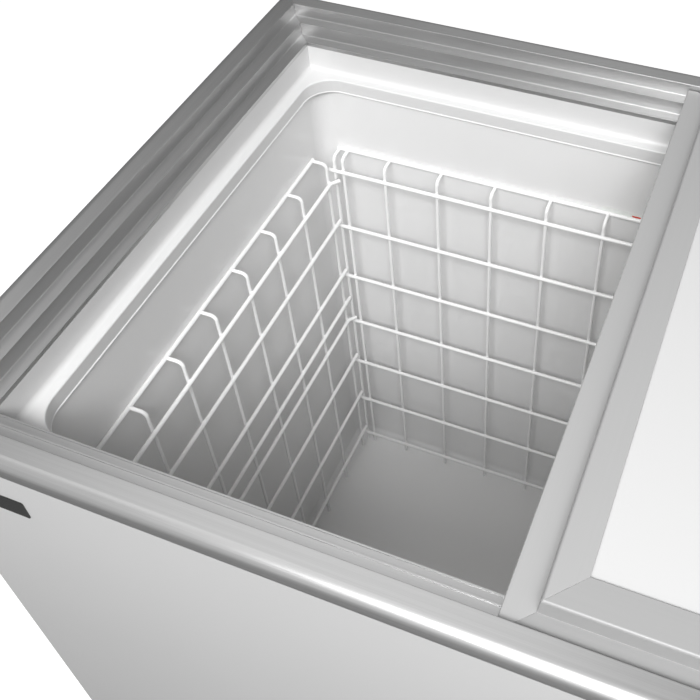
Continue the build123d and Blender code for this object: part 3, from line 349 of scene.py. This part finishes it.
alongX = (0.004, 1.0, 1.0)
alongY = (1.0, 0.004, 1.0)
finishes = {
    "rimFront": dict(tone=(0.66, 0.66, 0.66), metal=0.86, rough=(0.32, 0.345), lines=alongX, grain="X",
                     pull=0.3,
                     lineTone=0.22, lineSize=1700, edge=0.35, edgeTone=(0.85, 0.85, 0.85),
                     edgeWidth=0.0006, specks=0.15, drift=0.06,
                     round=0.0004),
    # the rear rail's copy of the rim alloy is toned darker than the side rails (0.54 against 0.68): painted
    # shade
    "rimAlongXPaintedShade": dict(tone=(0.54, 0.54, 0.54), metal=0.9, rough=(0.35, 0.39), lines=alongX, grain="X",
                      pull=0.7, edge=0.35,
                      edgeTone=(0.85, 0.85, 0.85), edgeWidth=0.0006, specks=0.15, drift=0.06, round=0.0004),
    "rimAlongY": dict(tone=(0.68, 0.68, 0.68), metal=0.9, rough=(0.35, 0.39), lines=alongY, grain="Y",
                      pull=0.7, edge=0.35,
                      edgeTone=(0.85, 0.85, 0.85), edgeWidth=0.0006, specks=0.15, drift=0.06, round=0.0004),
    "collarWhite": dict(tone=(0.72, 0.72, 0.72), rough=(0.31, 0.36), peel=0.00003, peelSize=140, drift=0.03,
                        specks=0.05),
    "linerWhite": dict(tone=(0.83, 0.83, 0.83), rough=(0.18, 0.23), peel=0.00003, peelSize=70, drift=0.03,
                       specks=0.06, driftSize=3),
    "cabinetWhite": dict(tone=(0.66, 0.66, 0.66), rough=(0.31, 0.36), peel=0.00003, peelSize=300,
                         drift=0.03,
                         specks=0.1, driftSize=2.5),
    # the front and rear lid rails get a copy of the frame finish toned darker than the side stiles (0.35
    # against 0.44): painted shade
    "lidFrameXPaintedShade": dict(tone=(0.35, 0.35, 0.35), metal=0.1, rough=(0.38, 0.44), lines=alongX, lineTone=0.05,
                      edge=0.3, edgeTone=(0.8, 0.8, 0.8), drift=0.03, round=0.0005),
    "lidFrameY": dict(tone=(0.44, 0.44, 0.44), metal=0.1, rough=(0.38, 0.44), lines=alongY, lineTone=0.05,
                      edge=0.3, edgeTone=(0.8, 0.8, 0.8), drift=0.03, round=0.0005),
    "lidPanelWhite": dict(tone=(0.61, 0.61, 0.61), rough=(0.32, 0.38), peel=0.00004, peelSize=420,
                          drift=0.02,
                          specks=0.06),
    "wireWhite": dict(tone=(0.95, 0.95, 0.95), rough=(0.18, 0.23), peel=0.00003, peelSize=300, drift=0.04),
    "galvanised": dict(tone=(0.55, 0.56, 0.57), metal=0.9, rough=(0.35, 0.5), drift=0.2, driftSize=40,
                       peelSize=200),
    "footRubber": dict(tone=(0.03, 0.03, 0.03), rough=(0.6, 0.75), peel=0.00008, peelSize=500, drift=0.2),
    "badgeBlack": dict(tone=(0.012, 0.013, 0.012), rough=(0.12, 0.2), coat=0.4, peelSize=200),
    "labelPale": dict(tone=(0.80, 0.82, 0.80), rough=(0.3, 0.4)),
    "labelRed": dict(tone=(0.65, 0.04, 0.02), rough=(0.3, 0.4)),
    "plasticGrey": dict(tone=(0.40, 0.41, 0.42), rough=(0.4, 0.5), peel=0.00006, peelSize=900),
    "plasticDark": dict(tone=(0.035, 0.035, 0.038), rough=(0.38, 0.5), peel=0.00006, peelSize=900),
    "controlGrey": dict(tone=(0.16, 0.165, 0.17), rough=(0.42, 0.52), peel=0.00006, peelSize=900),
    "compressorBlack": dict(tone=(0.015, 0.015, 0.016), rough=(0.31, 0.4), coat=0.2, peelSize=150,
                            peel=0.00006),
    "copper": dict(tone=(0.62, 0.30, 0.18), metal=1.0, rough=(0.32, 0.45), drift=0.35, driftSize=25),
    "finAlloy": dict(tone=(0.68, 0.69, 0.70), metal=1.0, rough=(0.3, 0.42), drift=0.1, driftSize=30),
    "foam": dict(tone=(0.80, 0.68, 0.42), rough=(0.8, 0.9), peel=0.0004, peelSize=420, drift=0.15,
                 specks=0.5, speckTone=(0.5, 0.4, 0.22), speckSize=400),
    "lampGreen": dict(tone=(0.05, 0.45, 0.10), rough=(0.12, 0.2), coat=0.5),
    # pale tone of the joint bead: painted highlight for the bright line at the skirt's edge
    "sealPaleHighlight": dict(tone=(0.88, 0.88, 0.88), rough=(0.31, 0.38), peel=0.00003, peelSize=500, drift=0.05),
    "zinc": dict(tone=(0.62, 0.62, 0.63), metal=1.0, rough=(0.31, 0.38), drift=0.15, driftSize=60),
}
materials = {name: newMaterial(name, recipe) for name, recipe in finishes.items()}
print("finishes:", len(materials))

slotFinish = {
    "corner_nylon": "plasticDark", "collar_white": "collarWhite", "liner_white": "linerWhite",
    "foam": "foam",
    "copper": "copper", "cabinet_white": "cabinetWhite", "galvanised": "galvanised",
    "foot_rubber": "footRubber", "drain_grey": "plasticGrey", "plug_rubber": "footRubber",
    "badge_black": "badgeBlack", "label_pale": "labelPale", "label_red": "labelRed",
    "wire_white": "wireWhite", "compressor_black": "compressorBlack", "terminal_black": "plasticDark",
    "fin_alloy": "finAlloy", "fan_black": "plasticDark", "grille_grey": "plasticGrey",
    "screw_zinc": "zinc", "control_grey": "controlGrey", "knob_black": "plasticDark",
    "lamp_tint": "lampGreen", "gland_black": "footRubber", "lid_panel": "lidPanelWhite",
    "glide_grey": "plasticGrey",
}

slotOf = {row["node"]: row["material_slot"] for row in frame["record"]["subparts"]}
for node, slotName in slotOf.items():
    if slotName == "rim_alloy":
        # the rear rail takes the darker copy of the alloy: painted shade
        finish = {"rim_front": "rimFront", "rim_rear": "rimAlongXPaintedShade"}.get(node, "rimAlongY")
    elif slotName == "lid_frame":
        # front and rear lid rails take the darker copy of the frame finish: painted shade
        finish = "lidFrameXPaintedShade" if "front" in node or "rear" in node else "lidFrameY"
    else:
        finish = slotFinish[slotName]
    piece = bpy.data.objects.get(node)
    if piece is None:
        print("no object", node)
        continue
    for slot in piece.material_slots:
        slot.material = materials[finish]

# one tree for everything bent from round wire: edges become wires, loose points become weld beads
def treeSocket(tree, label, kind, value=None):
    socket = tree.interface.new_socket(name=label, in_out="INPUT", socket_type=kind)
    if value is not None:
        socket.default_value = value


def newTree(name, inputs):
    tree = bpy.data.node_groups.new(name, "GeometryNodeTree")
    treeSocket(tree, "Geometry", "NodeSocketGeometry")
    for label, kind, value in inputs:
        treeSocket(tree, label, kind, value)
    tree.interface.new_socket(name="Geometry", in_out="OUTPUT", socket_type="NodeSocketGeometry")
    start = addNode(tree, "NodeGroupInput", (-1200, 0))
    end = addNode(tree, "NodeGroupOutput", (1200, 0))
    return tree, start, end


whole = "NodeSocketInt"
paint = "NodeSocketMaterial"


def attribute(tree, name, at):
    node = addNode(tree, "GeometryNodeInputNamedAttribute", at, data_type="FLOAT")
    node.inputs["Name"].default_value = name
    return node.outputs["Attribute"]


def buildWireTree():
    tree, start, end = newTree("bentWire", [
        ("Thick Radius", number, 0.002), ("Thin Radius", number, 0.0018), ("Bend Radius", number, 0.006),
        ("Bend Steps", whole, 6), ("Sides", whole, 14), ("Weld Radius", number, 0.002),
        ("Weld Seed", whole, 3), ("Finish", paint, None),
    ])
    slim = attribute(tree, "slim", (-1000, -300))
    weld = attribute(tree, "weld", (-1000, 300))
    isWeld = addNode(tree, "FunctionNodeCompare", (-800, 300), data_type="FLOAT", operation="GREATER_THAN")
    wire(tree, weld, isWeld.inputs[0])
    isWeld.inputs[1].default_value = 0.5
    apart = addNode(tree, "GeometryNodeSeparateGeometry", (-600, 100), domain="POINT")
    wire(tree, start.outputs["Geometry"], apart.inputs["Geometry"])
    wire(tree, isWeld.outputs["Result"], apart.inputs["Selection"])
    path = addNode(tree, "GeometryNodeMeshToCurve", (-400, 0))
    wire(tree, apart.outputs["Inverted"], path.inputs["Mesh"])
    bent = addNode(tree, "GeometryNodeFilletCurve", (-200, 0), mode="POLY")
    wire(tree, path.outputs["Curve"], bent.inputs["Curve"])
    wire(tree, start.outputs["Bend Steps"], bent.inputs["Count"])
    wire(tree, start.outputs["Bend Radius"], bent.inputs["Radius"])
    bent.inputs["Limit Radius"].default_value = True
    ring = addNode(tree, "GeometryNodeCurvePrimitiveCircle", (-200, -250))
    wire(tree, start.outputs["Sides"], ring.inputs["Resolution"])
    ring.inputs["Radius"].default_value = 1.0
    size = addNode(tree, "ShaderNodeMapRange", (-200, -450))
    wire(tree, slim, size.inputs["Value"])
    wire(tree, start.outputs["Thick Radius"], size.inputs["To Min"])
    wire(tree, start.outputs["Thin Radius"], size.inputs["To Max"])
    tube = addNode(tree, "GeometryNodeCurveToMesh", (0, 0))
    wire(tree, bent.outputs["Curve"], tube.inputs["Curve"])
    wire(tree, ring.outputs["Curve"], tube.inputs["Profile Curve"])
    wire(tree, size.outputs["Result"], tube.inputs["Scale"])
    tube.inputs["Fill Caps"].default_value = True
    bead = addNode(tree, "GeometryNodeMeshIcoSphere", (-400, 450))
    wire(tree, start.outputs["Weld Radius"], bead.inputs["Radius"])
    bead.inputs["Subdivisions"].default_value = 3
    uneven = addNode(tree, "FunctionNodeRandomValue", (-400, 650), data_type="FLOAT_VECTOR")
    uneven.inputs["Min"].default_value = (0.9, 0.9, 0.9)
    uneven.inputs["Max"].default_value = (1.35, 1.35, 1.35)
    wire(tree, start.outputs["Weld Seed"], uneven.inputs["Seed"])
    welds = addNode(tree, "GeometryNodeInstanceOnPoints", (0, 300))
    wire(tree, apart.outputs["Selection"], welds.inputs["Points"])
    wire(tree, bead.outputs["Mesh"], welds.inputs["Instance"])
    wire(tree, uneven.outputs["Value"], welds.inputs["Scale"])
    together = addNode(tree, "GeometryNodeJoinGeometry", (250, 100))
    wire(tree, tube.outputs["Mesh"], together.inputs[0])
    wire(tree, welds.outputs["Instances"], together.inputs[0])
    real = addNode(tree, "GeometryNodeRealizeInstances", (450, 100))
    wire(tree, together.outputs[0], real.inputs[0])
    smooth = addNode(tree, "GeometryNodeSetShadeSmooth", (650, 100))
    wire(tree, real.outputs[0], smooth.inputs[0])
    coat = addNode(tree, "GeometryNodeSetMaterial", (850, 100))
    wire(tree, smooth.outputs[0], coat.inputs["Geometry"])
    wire(tree, start.outputs["Finish"], coat.inputs["Material"])
    wire(tree, coat.outputs[0], end.inputs[0])
    return tree


def growPiece(name, mesh, tree, values, sharp=40):
    # runs the tree over the starting mesh and keeps the result as a plain mesh
    piece = bpy.data.objects.new(name, mesh)
    scene.collection.objects.link(piece)
    modifier = piece.modifiers.new("shape", "NODES")
    modifier.node_group = tree
    for item in tree.interface.items_tree:
        if item.in_out == "INPUT" and item.name in values:
            modifier[item.identifier] = values[item.name]
    ready = piece.evaluated_get(bpy.context.evaluated_depsgraph_get())
    made = bpy.data.meshes.new_from_object(ready)
    piece.modifiers.clear()
    piece.data = made
    made.name = name
    made.set_sharp_from_angle(angle=math.radians(sharp))
    return piece


def pathMesh(name, runs, welds):
    # runs are (points, slim); welds are single points
    corners, edges, slims = [], [], []
    for points, slim in runs:
        first = len(corners)
        corners += points
        slims += [slim] * len(points)
        edges += [(first + step, first + step + 1) for step in range(len(points) - 1)]
    mesh = bpy.data.meshes.new(name)
    mesh.from_pydata(corners + welds, edges, [])
    slimness = mesh.attributes.new("slim", "FLOAT", "POINT")
    isWeld = mesh.attributes.new("weld", "FLOAT", "POINT")
    for index, value in enumerate(slims + [0.0] * len(welds)):
        slimness.data[index].value = value
        isWeld.data[index].value = float(index >= len(corners))
    return mesh


# lining wires: a top wire on the wall, hooks that drop from it and rows welded across them
guard = {
    "thick": 0.0025, "thin": 0.0021, "bend": 0.006, "bendSteps": 6, "sides": 14, "weld": 0.002, "seed": 11,
    "top": 0.686, "standOff": 0.0186, "rowOffset": 0.02225,
    "floor": 0.088, "stepFloor": 0.338, "stepStart": 0.233,
}
longGuard = {
    "wall": 0.25935, "first": -0.3712, "pitch": 0.0675, "hooks": 12, "ends": (0.4266, 0.4382),
    "topReach": 0.4412, "rowReach": 0.4442, "firstRow": 0.668, "rowPitch": 0.093, "rows": 7,
}
shortGuard = {
    "wall": 0.45935, "reach": 0.225, "hooks": 8, "topReach": 0.228, "rowReach": 0.236,
    "rows": (0.657, 0.585, 0.494, 0.438, 0.402, 0.312, 0.220, 0.128), "hooked": (0.657, 0.402),
    "hookTurn": 0.224, "hookTip": (0.008, 0.0095),
}


def longGuardRuns(side):
    wall = side * longGuard["wall"]
    hang = wall - side * guard["standOff"]
    across = wall - side * guard["rowOffset"]
    spots = [longGuard["first"] + longGuard["pitch"] * index for index in range(longGuard["hooks"])]
    spots += [end * sign for end in longGuard["ends"] for sign in (-1, 1)]
    top, reach = guard["top"], longGuard["topReach"]
    runs = [([(-reach, wall, top), (reach, wall, top)], 0.0)]
    welds = []
    for x in spots:
        foot = guard["stepFloor"] if x > guard["stepStart"] else guard["floor"]
        runs.append(([(x, wall, top), (x, hang, top), (x, hang, foot)], 1.0))
        welds.append((x, wall, top))
    for index in range(longGuard["rows"]):
        level = longGuard["firstRow"] - longGuard["rowPitch"] * index
        low = level < guard["stepFloor"]
        end = guard["stepStart"] if low else longGuard["rowReach"]
        runs.append(([(-longGuard["rowReach"], across, level), (end, across, level)], 0.0))
        welds += [(x, (hang + across) / 2, level) for x in spots if not low or x < guard["stepStart"]]
    return runs, welds


def shortGuardRuns(side):
    wall = side * shortGuard["wall"]
    hang = wall - side * guard["standOff"]
    across = wall - side * guard["rowOffset"]
    foot = guard["floor"] if side < 0 else guard["stepFloor"]
    top, reach = guard["top"], shortGuard["topReach"]
    pitch = 2 * shortGuard["reach"] / (shortGuard["hooks"] - 1)
    spots = [-shortGuard["reach"] + pitch * index for index in range(shortGuard["hooks"])]
    runs = [([(wall, -reach, top), (wall, reach, top)], 0.0)]
    welds = []
    for y in spots:
        runs.append(([(wall, y, top), (hang, y, top), (hang, y, foot)], 1.0))
        welds.append((wall, y, top))
    for level in (row for row in shortGuard["rows"] if row > foot):
        if level in shortGuard["hooked"]:
            turn = shortGuard["hookTurn"]
            inward, onward = shortGuard["hookTip"]
            tipX = across - side * inward
            tipY = turn + onward
            points = [(tipX, -tipY, level), (across, -turn, level), (across, turn, level),
                      (tipX, tipY, level)]
        else:
            end = shortGuard["rowReach"]
            points = [(across, -end, level), (across, end, level)]
        runs.append((points, 0.0))
        welds += [((hang + across) / 2, y, level) for y in spots]
    return runs, welds


wireTree = buildWireTree()
for node, runsFor, side in (
    ("guard_rear", longGuardRuns, 1), ("guard_front", longGuardRuns, -1),
    ("guard_left", shortGuardRuns, -1), ("guard_right", shortGuardRuns, 1),
):
    runs, welds = runsFor(side)
    name = node.replace("guard_", "wires_")
    piece = growPiece(name, pathMesh(name, runs, welds), wireTree, {
        "Thick Radius": guard["thick"], "Thin Radius": guard["thin"], "Bend Radius": guard["bend"],
        "Bend Steps": guard["bendSteps"], "Sides": guard["sides"], "Weld Radius": guard["weld"],
        "Weld Seed": guard["seed"], "Finish": materials["wireWhite"],
    })
    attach(piece, "cabinet")
    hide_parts(node)
    print(name, len(runs), "wires,", len(piece.data.vertices), "points")

# a fine bead of sealant where the collar's skirt meets the lining, toned pale as a painted highlight for
# the bright line along the skirt's lower edge; its own contact shadow is rendered
seal = {
    "halfLength": 0.4601, "halfDepth": 0.2601, "corner": 0.0325, "level": 0.7716,
    "radius": 0.0012, "uneven": 0.0001, "step": 0.003, "grain": 130.0, "sides": 8,
}


def buildSealTree():
    tree, start, end = newTree("sealBead", [
        ("Bead Radius", number, 0.001), ("Unevenness", number, 0.0004), ("Grain", number, 100.0),
        ("Corner Radius", number, 0.03), ("Step", number, 0.004), ("Sides", whole, 8),
        ("Finish", paint, None),
    ])
    path = addNode(tree, "GeometryNodeMeshToCurve", (-900, 0))
    wire(tree, start.outputs["Geometry"], path.inputs["Mesh"])
    bent = addNode(tree, "GeometryNodeFilletCurve", (-700, 0), mode="POLY")
    wire(tree, path.outputs["Curve"], bent.inputs["Curve"])
    bent.inputs["Count"].default_value = 16
    wire(tree, start.outputs["Corner Radius"], bent.inputs["Radius"])
    even = addNode(tree, "GeometryNodeResampleCurve", (-500, 0), mode="LENGTH")
    wire(tree, bent.outputs["Curve"], even.inputs["Curve"])
    wire(tree, start.outputs["Step"], even.inputs["Length"])
    lumps = addNode(tree, "ShaderNodeTexNoise", (-500, -300))
    wire(tree, start.outputs["Grain"], lumps.inputs["Scale"])
    spot = addNode(tree, "GeometryNodeInputPosition", (-700, -300))
    wire(tree, spot.outputs[0], lumps.inputs["Vector"])
    centred = mathNode(tree, "SUBTRACT", lumps.outputs["Fac"], 0.5, at=(-300, -300))
    change = mathNode(tree, "MULTIPLY", centred, start.outputs["Unevenness"], at=(-150, -300))
    doubled = mathNode(tree, "MULTIPLY", change, 3.0, at=(-50, -400))
    radius = mathNode(tree, "ADD", doubled, start.outputs["Bead Radius"], at=(0, -300))
    ring = addNode(tree, "GeometryNodeCurvePrimitiveCircle", (-100, -500))
    wire(tree, start.outputs["Sides"], ring.inputs["Resolution"])
    ring.inputs["Radius"].default_value = 1.0
    tube = addNode(tree, "GeometryNodeCurveToMesh", (200, 0))
    wire(tree, even.outputs["Curve"], tube.inputs["Curve"])
    wire(tree, ring.outputs["Curve"], tube.inputs["Profile Curve"])
    wire(tree, radius, tube.inputs["Scale"])
    real = addNode(tree, "GeometryNodeRealizeInstances", (400, 0))
    wire(tree, tube.outputs["Mesh"], real.inputs[0])
    smooth = addNode(tree, "GeometryNodeSetShadeSmooth", (600, 0))
    wire(tree, real.outputs[0], smooth.inputs[0])
    coat = addNode(tree, "GeometryNodeSetMaterial", (800, 0))
    wire(tree, smooth.outputs[0], coat.inputs["Geometry"])
    wire(tree, start.outputs["Finish"], coat.inputs["Material"])
    wire(tree, coat.outputs[0], end.inputs[0])
    return tree


sealMesh = bpy.data.meshes.new("joint_sealant")
a, b, level = seal["halfLength"], seal["halfDepth"], seal["level"]
sealMesh.from_pydata(
    [(-a, -b, level), (a, -b, level), (a, b, level), (-a, b, level)], [(0, 1), (1, 2), (2, 3), (3, 0)], []
)
sealant = growPiece("joint_sealant", sealMesh, buildSealTree(), {
    "Bead Radius": seal["radius"], "Unevenness": seal["uneven"], "Grain": seal["grain"],
    "Corner Radius": seal["corner"], "Step": seal["step"], "Sides": seal["sides"],
    "Finish": materials["sealPaleHighlight"],
})
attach(sealant, "cabinet")
print("joint_sealant", len(sealant.data.vertices), "points")

# pan-head screws with a cross recess, one per starting point, each stopped at its own angle
screw = {
    "radius": 0.0037, "height": 0.0014, "slotLength": 0.0044, "slotWidth": 0.0008, "slotDepth": 0.0009,
    "seed": 5, "face": 0.5204, "spanY": 0.2515, "spanZ": 0.2015, "middle": (-0.15, 0.14),
}


def buildScrewTree():
    tree, start, end = newTree("crossScrew", [
        ("Head Radius", number, 0.004), ("Head Height", number, 0.0014), ("Slot Length", number, 0.004),
        ("Slot Width", number, 0.0008), ("Slot Depth", number, 0.0008), ("Turn Seed", whole, 1),
        ("Finish", paint, None),
    ])
    ball = addNode(tree, "GeometryNodeMeshUVSphere", (-900, 200))
    ball.inputs["Segments"].default_value = 32
    ball.inputs["Rings"].default_value = 16
    ball.inputs["Radius"].default_value = 1.0
    flat = addNode(tree, "ShaderNodeCombineXYZ", (-900, 0))
    wire(tree, start.outputs["Head Height"], flat.inputs[0])
    wire(tree, start.outputs["Head Radius"], flat.inputs[1])
    wire(tree, start.outputs["Head Radius"], flat.inputs[2])
    head = addNode(tree, "GeometryNodeTransform", (-650, 200))
    wire(tree, ball.outputs["Mesh"], head.inputs["Geometry"])
    wire(tree, flat.outputs[0], head.inputs["Scale"])
    previous = head.outputs[0]
    depth = mathNode(tree, "MULTIPLY", start.outputs["Slot Depth"], 2.0, at=(-900, -200))
    for across in (False, True):
        bar = addNode(tree, "ShaderNodeCombineXYZ", (-650, -200 - 150 * across))
        wire(tree, depth, bar.inputs[0])
        wire(tree, start.outputs["Slot Length"], bar.inputs[2 if across else 1])
        wire(tree, start.outputs["Slot Width"], bar.inputs[1 if across else 2])
        cutter = addNode(tree, "GeometryNodeMeshCube", (-450, -200 - 150 * across))
        wire(tree, bar.outputs[0], cutter.inputs["Size"])
        lift = addNode(tree, "ShaderNodeCombineXYZ", (-450, 0))
        wire(tree, start.outputs["Head Height"], lift.inputs[0])
        moved = addNode(tree, "GeometryNodeTransform", (-250, -200 - 150 * across))
        wire(tree, cutter.outputs["Mesh"], moved.inputs["Geometry"])
        wire(tree, lift.outputs[0], moved.inputs["Translation"])
        cut = addNode(tree, "GeometryNodeMeshBoolean", (-50, 100 - 150 * across), operation="DIFFERENCE")
        wire(tree, previous, cut.inputs["Mesh 1"])
        wire(tree, moved.outputs[0], cut.inputs["Mesh 2"])
        previous = cut.outputs["Mesh"]
    twist = addNode(tree, "FunctionNodeRandomValue", (0, -300), data_type="FLOAT")
    wire(tree, start.outputs["Turn Seed"], twist.inputs["Seed"])
    nextSocket = [s for s in twist.inputs if s.enabled]
    nextSocket[1].default_value = math.pi
    turned = addNode(tree, "ShaderNodeCombineXYZ", (150, -300))
    wire(tree, next(s for s in twist.outputs if s.enabled), turned.inputs[0])
    spots = addNode(tree, "GeometryNodeInstanceOnPoints", (350, 100))
    wire(tree, start.outputs["Geometry"], spots.inputs["Points"])
    wire(tree, previous, spots.inputs["Instance"])
    wire(tree, turned.outputs[0], spots.inputs["Rotation"])
    real = addNode(tree, "GeometryNodeRealizeInstances", (550, 100))
    wire(tree, spots.outputs[0], real.inputs[0])
    smooth = addNode(tree, "GeometryNodeSetShadeSmooth", (700, 100))
    wire(tree, real.outputs[0], smooth.inputs[0])
    coat = addNode(tree, "GeometryNodeSetMaterial", (850, 100))
    wire(tree, smooth.outputs[0], coat.inputs["Geometry"])
    wire(tree, start.outputs["Finish"], coat.inputs["Material"])
    wire(tree, coat.outputs[0], end.inputs[0])
    return tree


screwSpots = bpy.data.meshes.new("grille_screw_heads")
screwSpots.from_pydata([
    (screw["face"], screw["middle"][0] + y * screw["spanY"] / 2,
     screw["middle"][1] + z * screw["spanZ"] / 2)
    for y in (-1, 1) for z in (-1, 1)
], [], [])
screws = growPiece("grille_screw_heads", screwSpots, buildScrewTree(), {
    "Head Radius": screw["radius"], "Head Height": screw["height"], "Slot Length": screw["slotLength"],
    "Slot Width": screw["slotWidth"], "Slot Depth": screw["slotDepth"], "Turn Seed": screw["seed"],
    "Finish": materials["zinc"],
}, sharp=30)
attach(screws, "cabinet")
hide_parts("grille_screws")
print("grille_screw_heads", len(screws.data.vertices), "points")

# the lights and the pale room
studio = {
    "keyPlace": (0.25, -1.9, 3.0), "keyAim": (-0.15, 0.1, 0.7), "keySize": (1.7, 1.0), "keyPower": 82,
    "stripPlace": (0.45, -1.1, 1.7), "stripAim": (-0.1, -0.3, 0.8), "stripSize": (1.3, 0.3),
    "stripPower": 6,
    "topPlace": (-0.9, 0.5, 3.2), "topAim": (0, 0, 0.8), "topSize": (2.8, 1.6), "topPower": 12,
    "skyDark": 0.16, "skyBright": 0.5, "skyToward": (0.0, -1.0, 0.4), "skyFade": (-0.35, 0.55),
    "floorTone": 0.95, "floorDim": 0.16, "floorGlow": 0.45, "floorReach": 14.0,
}


def addArea(name, placeAt, aim, size, power):
    data = bpy.data.lights.new(name, "AREA")
    data.shape = "RECTANGLE"
    data.size, data.size_y = size
    data.energy = power
    lamp = bpy.data.objects.new(name, data)
    scene.collection.objects.link(lamp)
    lamp.location = placeAt
    lamp.rotation_euler = (Vector(aim) - Vector(placeAt)).to_track_quat("-Z", "Y").to_euler()
    return lamp


addArea("key", studio["keyPlace"], studio["keyAim"], studio["keySize"], studio["keyPower"])
addArea("strip", studio["stripPlace"], studio["stripAim"], studio["stripSize"], studio["stripPower"])
addArea("top", studio["topPlace"], studio["topAim"], studio["topSize"], studio["topPower"])

world = bpy.data.worlds.new("studio")
scene.world = world
world.use_nodes = True
worldTree = world.node_tree
worldTree.nodes.clear()
worldOut = addNode(worldTree, "ShaderNodeOutputWorld", (600, 0))
sky = addNode(worldTree, "ShaderNodeBackground", (0, 100))
sky.inputs["Color"].default_value = (1, 1, 1, 1)
facing = addNode(worldTree, "ShaderNodeTexCoord", (-900, 100))
toward = addNode(worldTree, "ShaderNodeVectorMath", (-650, 100), operation="DOT_PRODUCT")
wire(worldTree, facing.outputs["Generated"], toward.inputs[0])
toward.inputs[1].default_value = Vector(studio["skyToward"]).normalized()
fade = addNode(worldTree, "ShaderNodeMapRange", (-400, 100), interpolation_type="SMOOTHSTEP")
wire(worldTree, toward.outputs["Value"], fade.inputs["Value"])
fade.inputs["From Min"].default_value = studio["skyFade"][0]
fade.inputs["From Max"].default_value = studio["skyFade"][1]
fade.inputs["To Min"].default_value = studio["skyDark"]
fade.inputs["To Max"].default_value = studio["skyBright"]
wire(worldTree, fade.outputs["Result"], sky.inputs["Strength"])
backdrop = addNode(worldTree, "ShaderNodeBackground", (0, -100))
backdrop.inputs["Color"].default_value = (1, 1, 1, 1)
backdrop.inputs["Strength"].default_value = 1.0
rays = addNode(worldTree, "ShaderNodeLightPath", (0, 300))
both = addNode(worldTree, "ShaderNodeMixShader", (300, 0))
wire(worldTree, rays.outputs["Is Camera Ray"], both.inputs[0])
wire(worldTree, sky.outputs[0], both.inputs[1])
wire(worldTree, backdrop.outputs[0], both.inputs[2])
wire(worldTree, both.outputs[0], worldOut.inputs["Surface"])

floorMesh = bpy.data.meshes.new("floor")
reach = studio["floorReach"]
floorMesh.from_pydata(
    [(-reach, -reach, 0), (reach, -reach, 0), (reach, reach, 0), (-reach, reach, 0)], [], [(0, 1, 2, 3)]
)
floor = bpy.data.objects.new("floor", floorMesh)
scene.collection.objects.link(floor)
floorMaterial = bpy.data.materials.new("floorPale")
floorMaterial.use_nodes = True
floorTree = floorMaterial.node_tree
floorTree.nodes.clear()
floorOut = addNode(floorTree, "ShaderNodeOutputMaterial", (700, 0))
seen = addNode(floorTree, "ShaderNodeBsdfDiffuse", (0, 100))
seen.inputs["Color"].default_value = (studio["floorTone"],) * 3 + (1,)
glow = addNode(floorTree, "ShaderNodeEmission", (0, -50))
glow.inputs["Strength"].default_value = studio["floorGlow"]
lit = addNode(floorTree, "ShaderNodeAddShader", (200, 50))
wire(floorTree, seen.outputs[0], lit.inputs[0])
wire(floorTree, glow.outputs[0], lit.inputs[1])
unseen = addNode(floorTree, "ShaderNodeBsdfDiffuse", (200, -150))
unseen.inputs["Color"].default_value = (studio["floorDim"],) * 3 + (1,)
floorRays = addNode(floorTree, "ShaderNodeLightPath", (200, 300))
pick = addNode(floorTree, "ShaderNodeMixShader", (450, 0))
wire(floorTree, floorRays.outputs["Is Camera Ray"], pick.inputs[0])
wire(floorTree, unseen.outputs[0], pick.inputs[1])
wire(floorTree, lit.outputs[0], pick.inputs[2])
wire(floorTree, pick.outputs[0], floorOut.inputs["Surface"])
floorMesh.materials.append(floorMaterial)
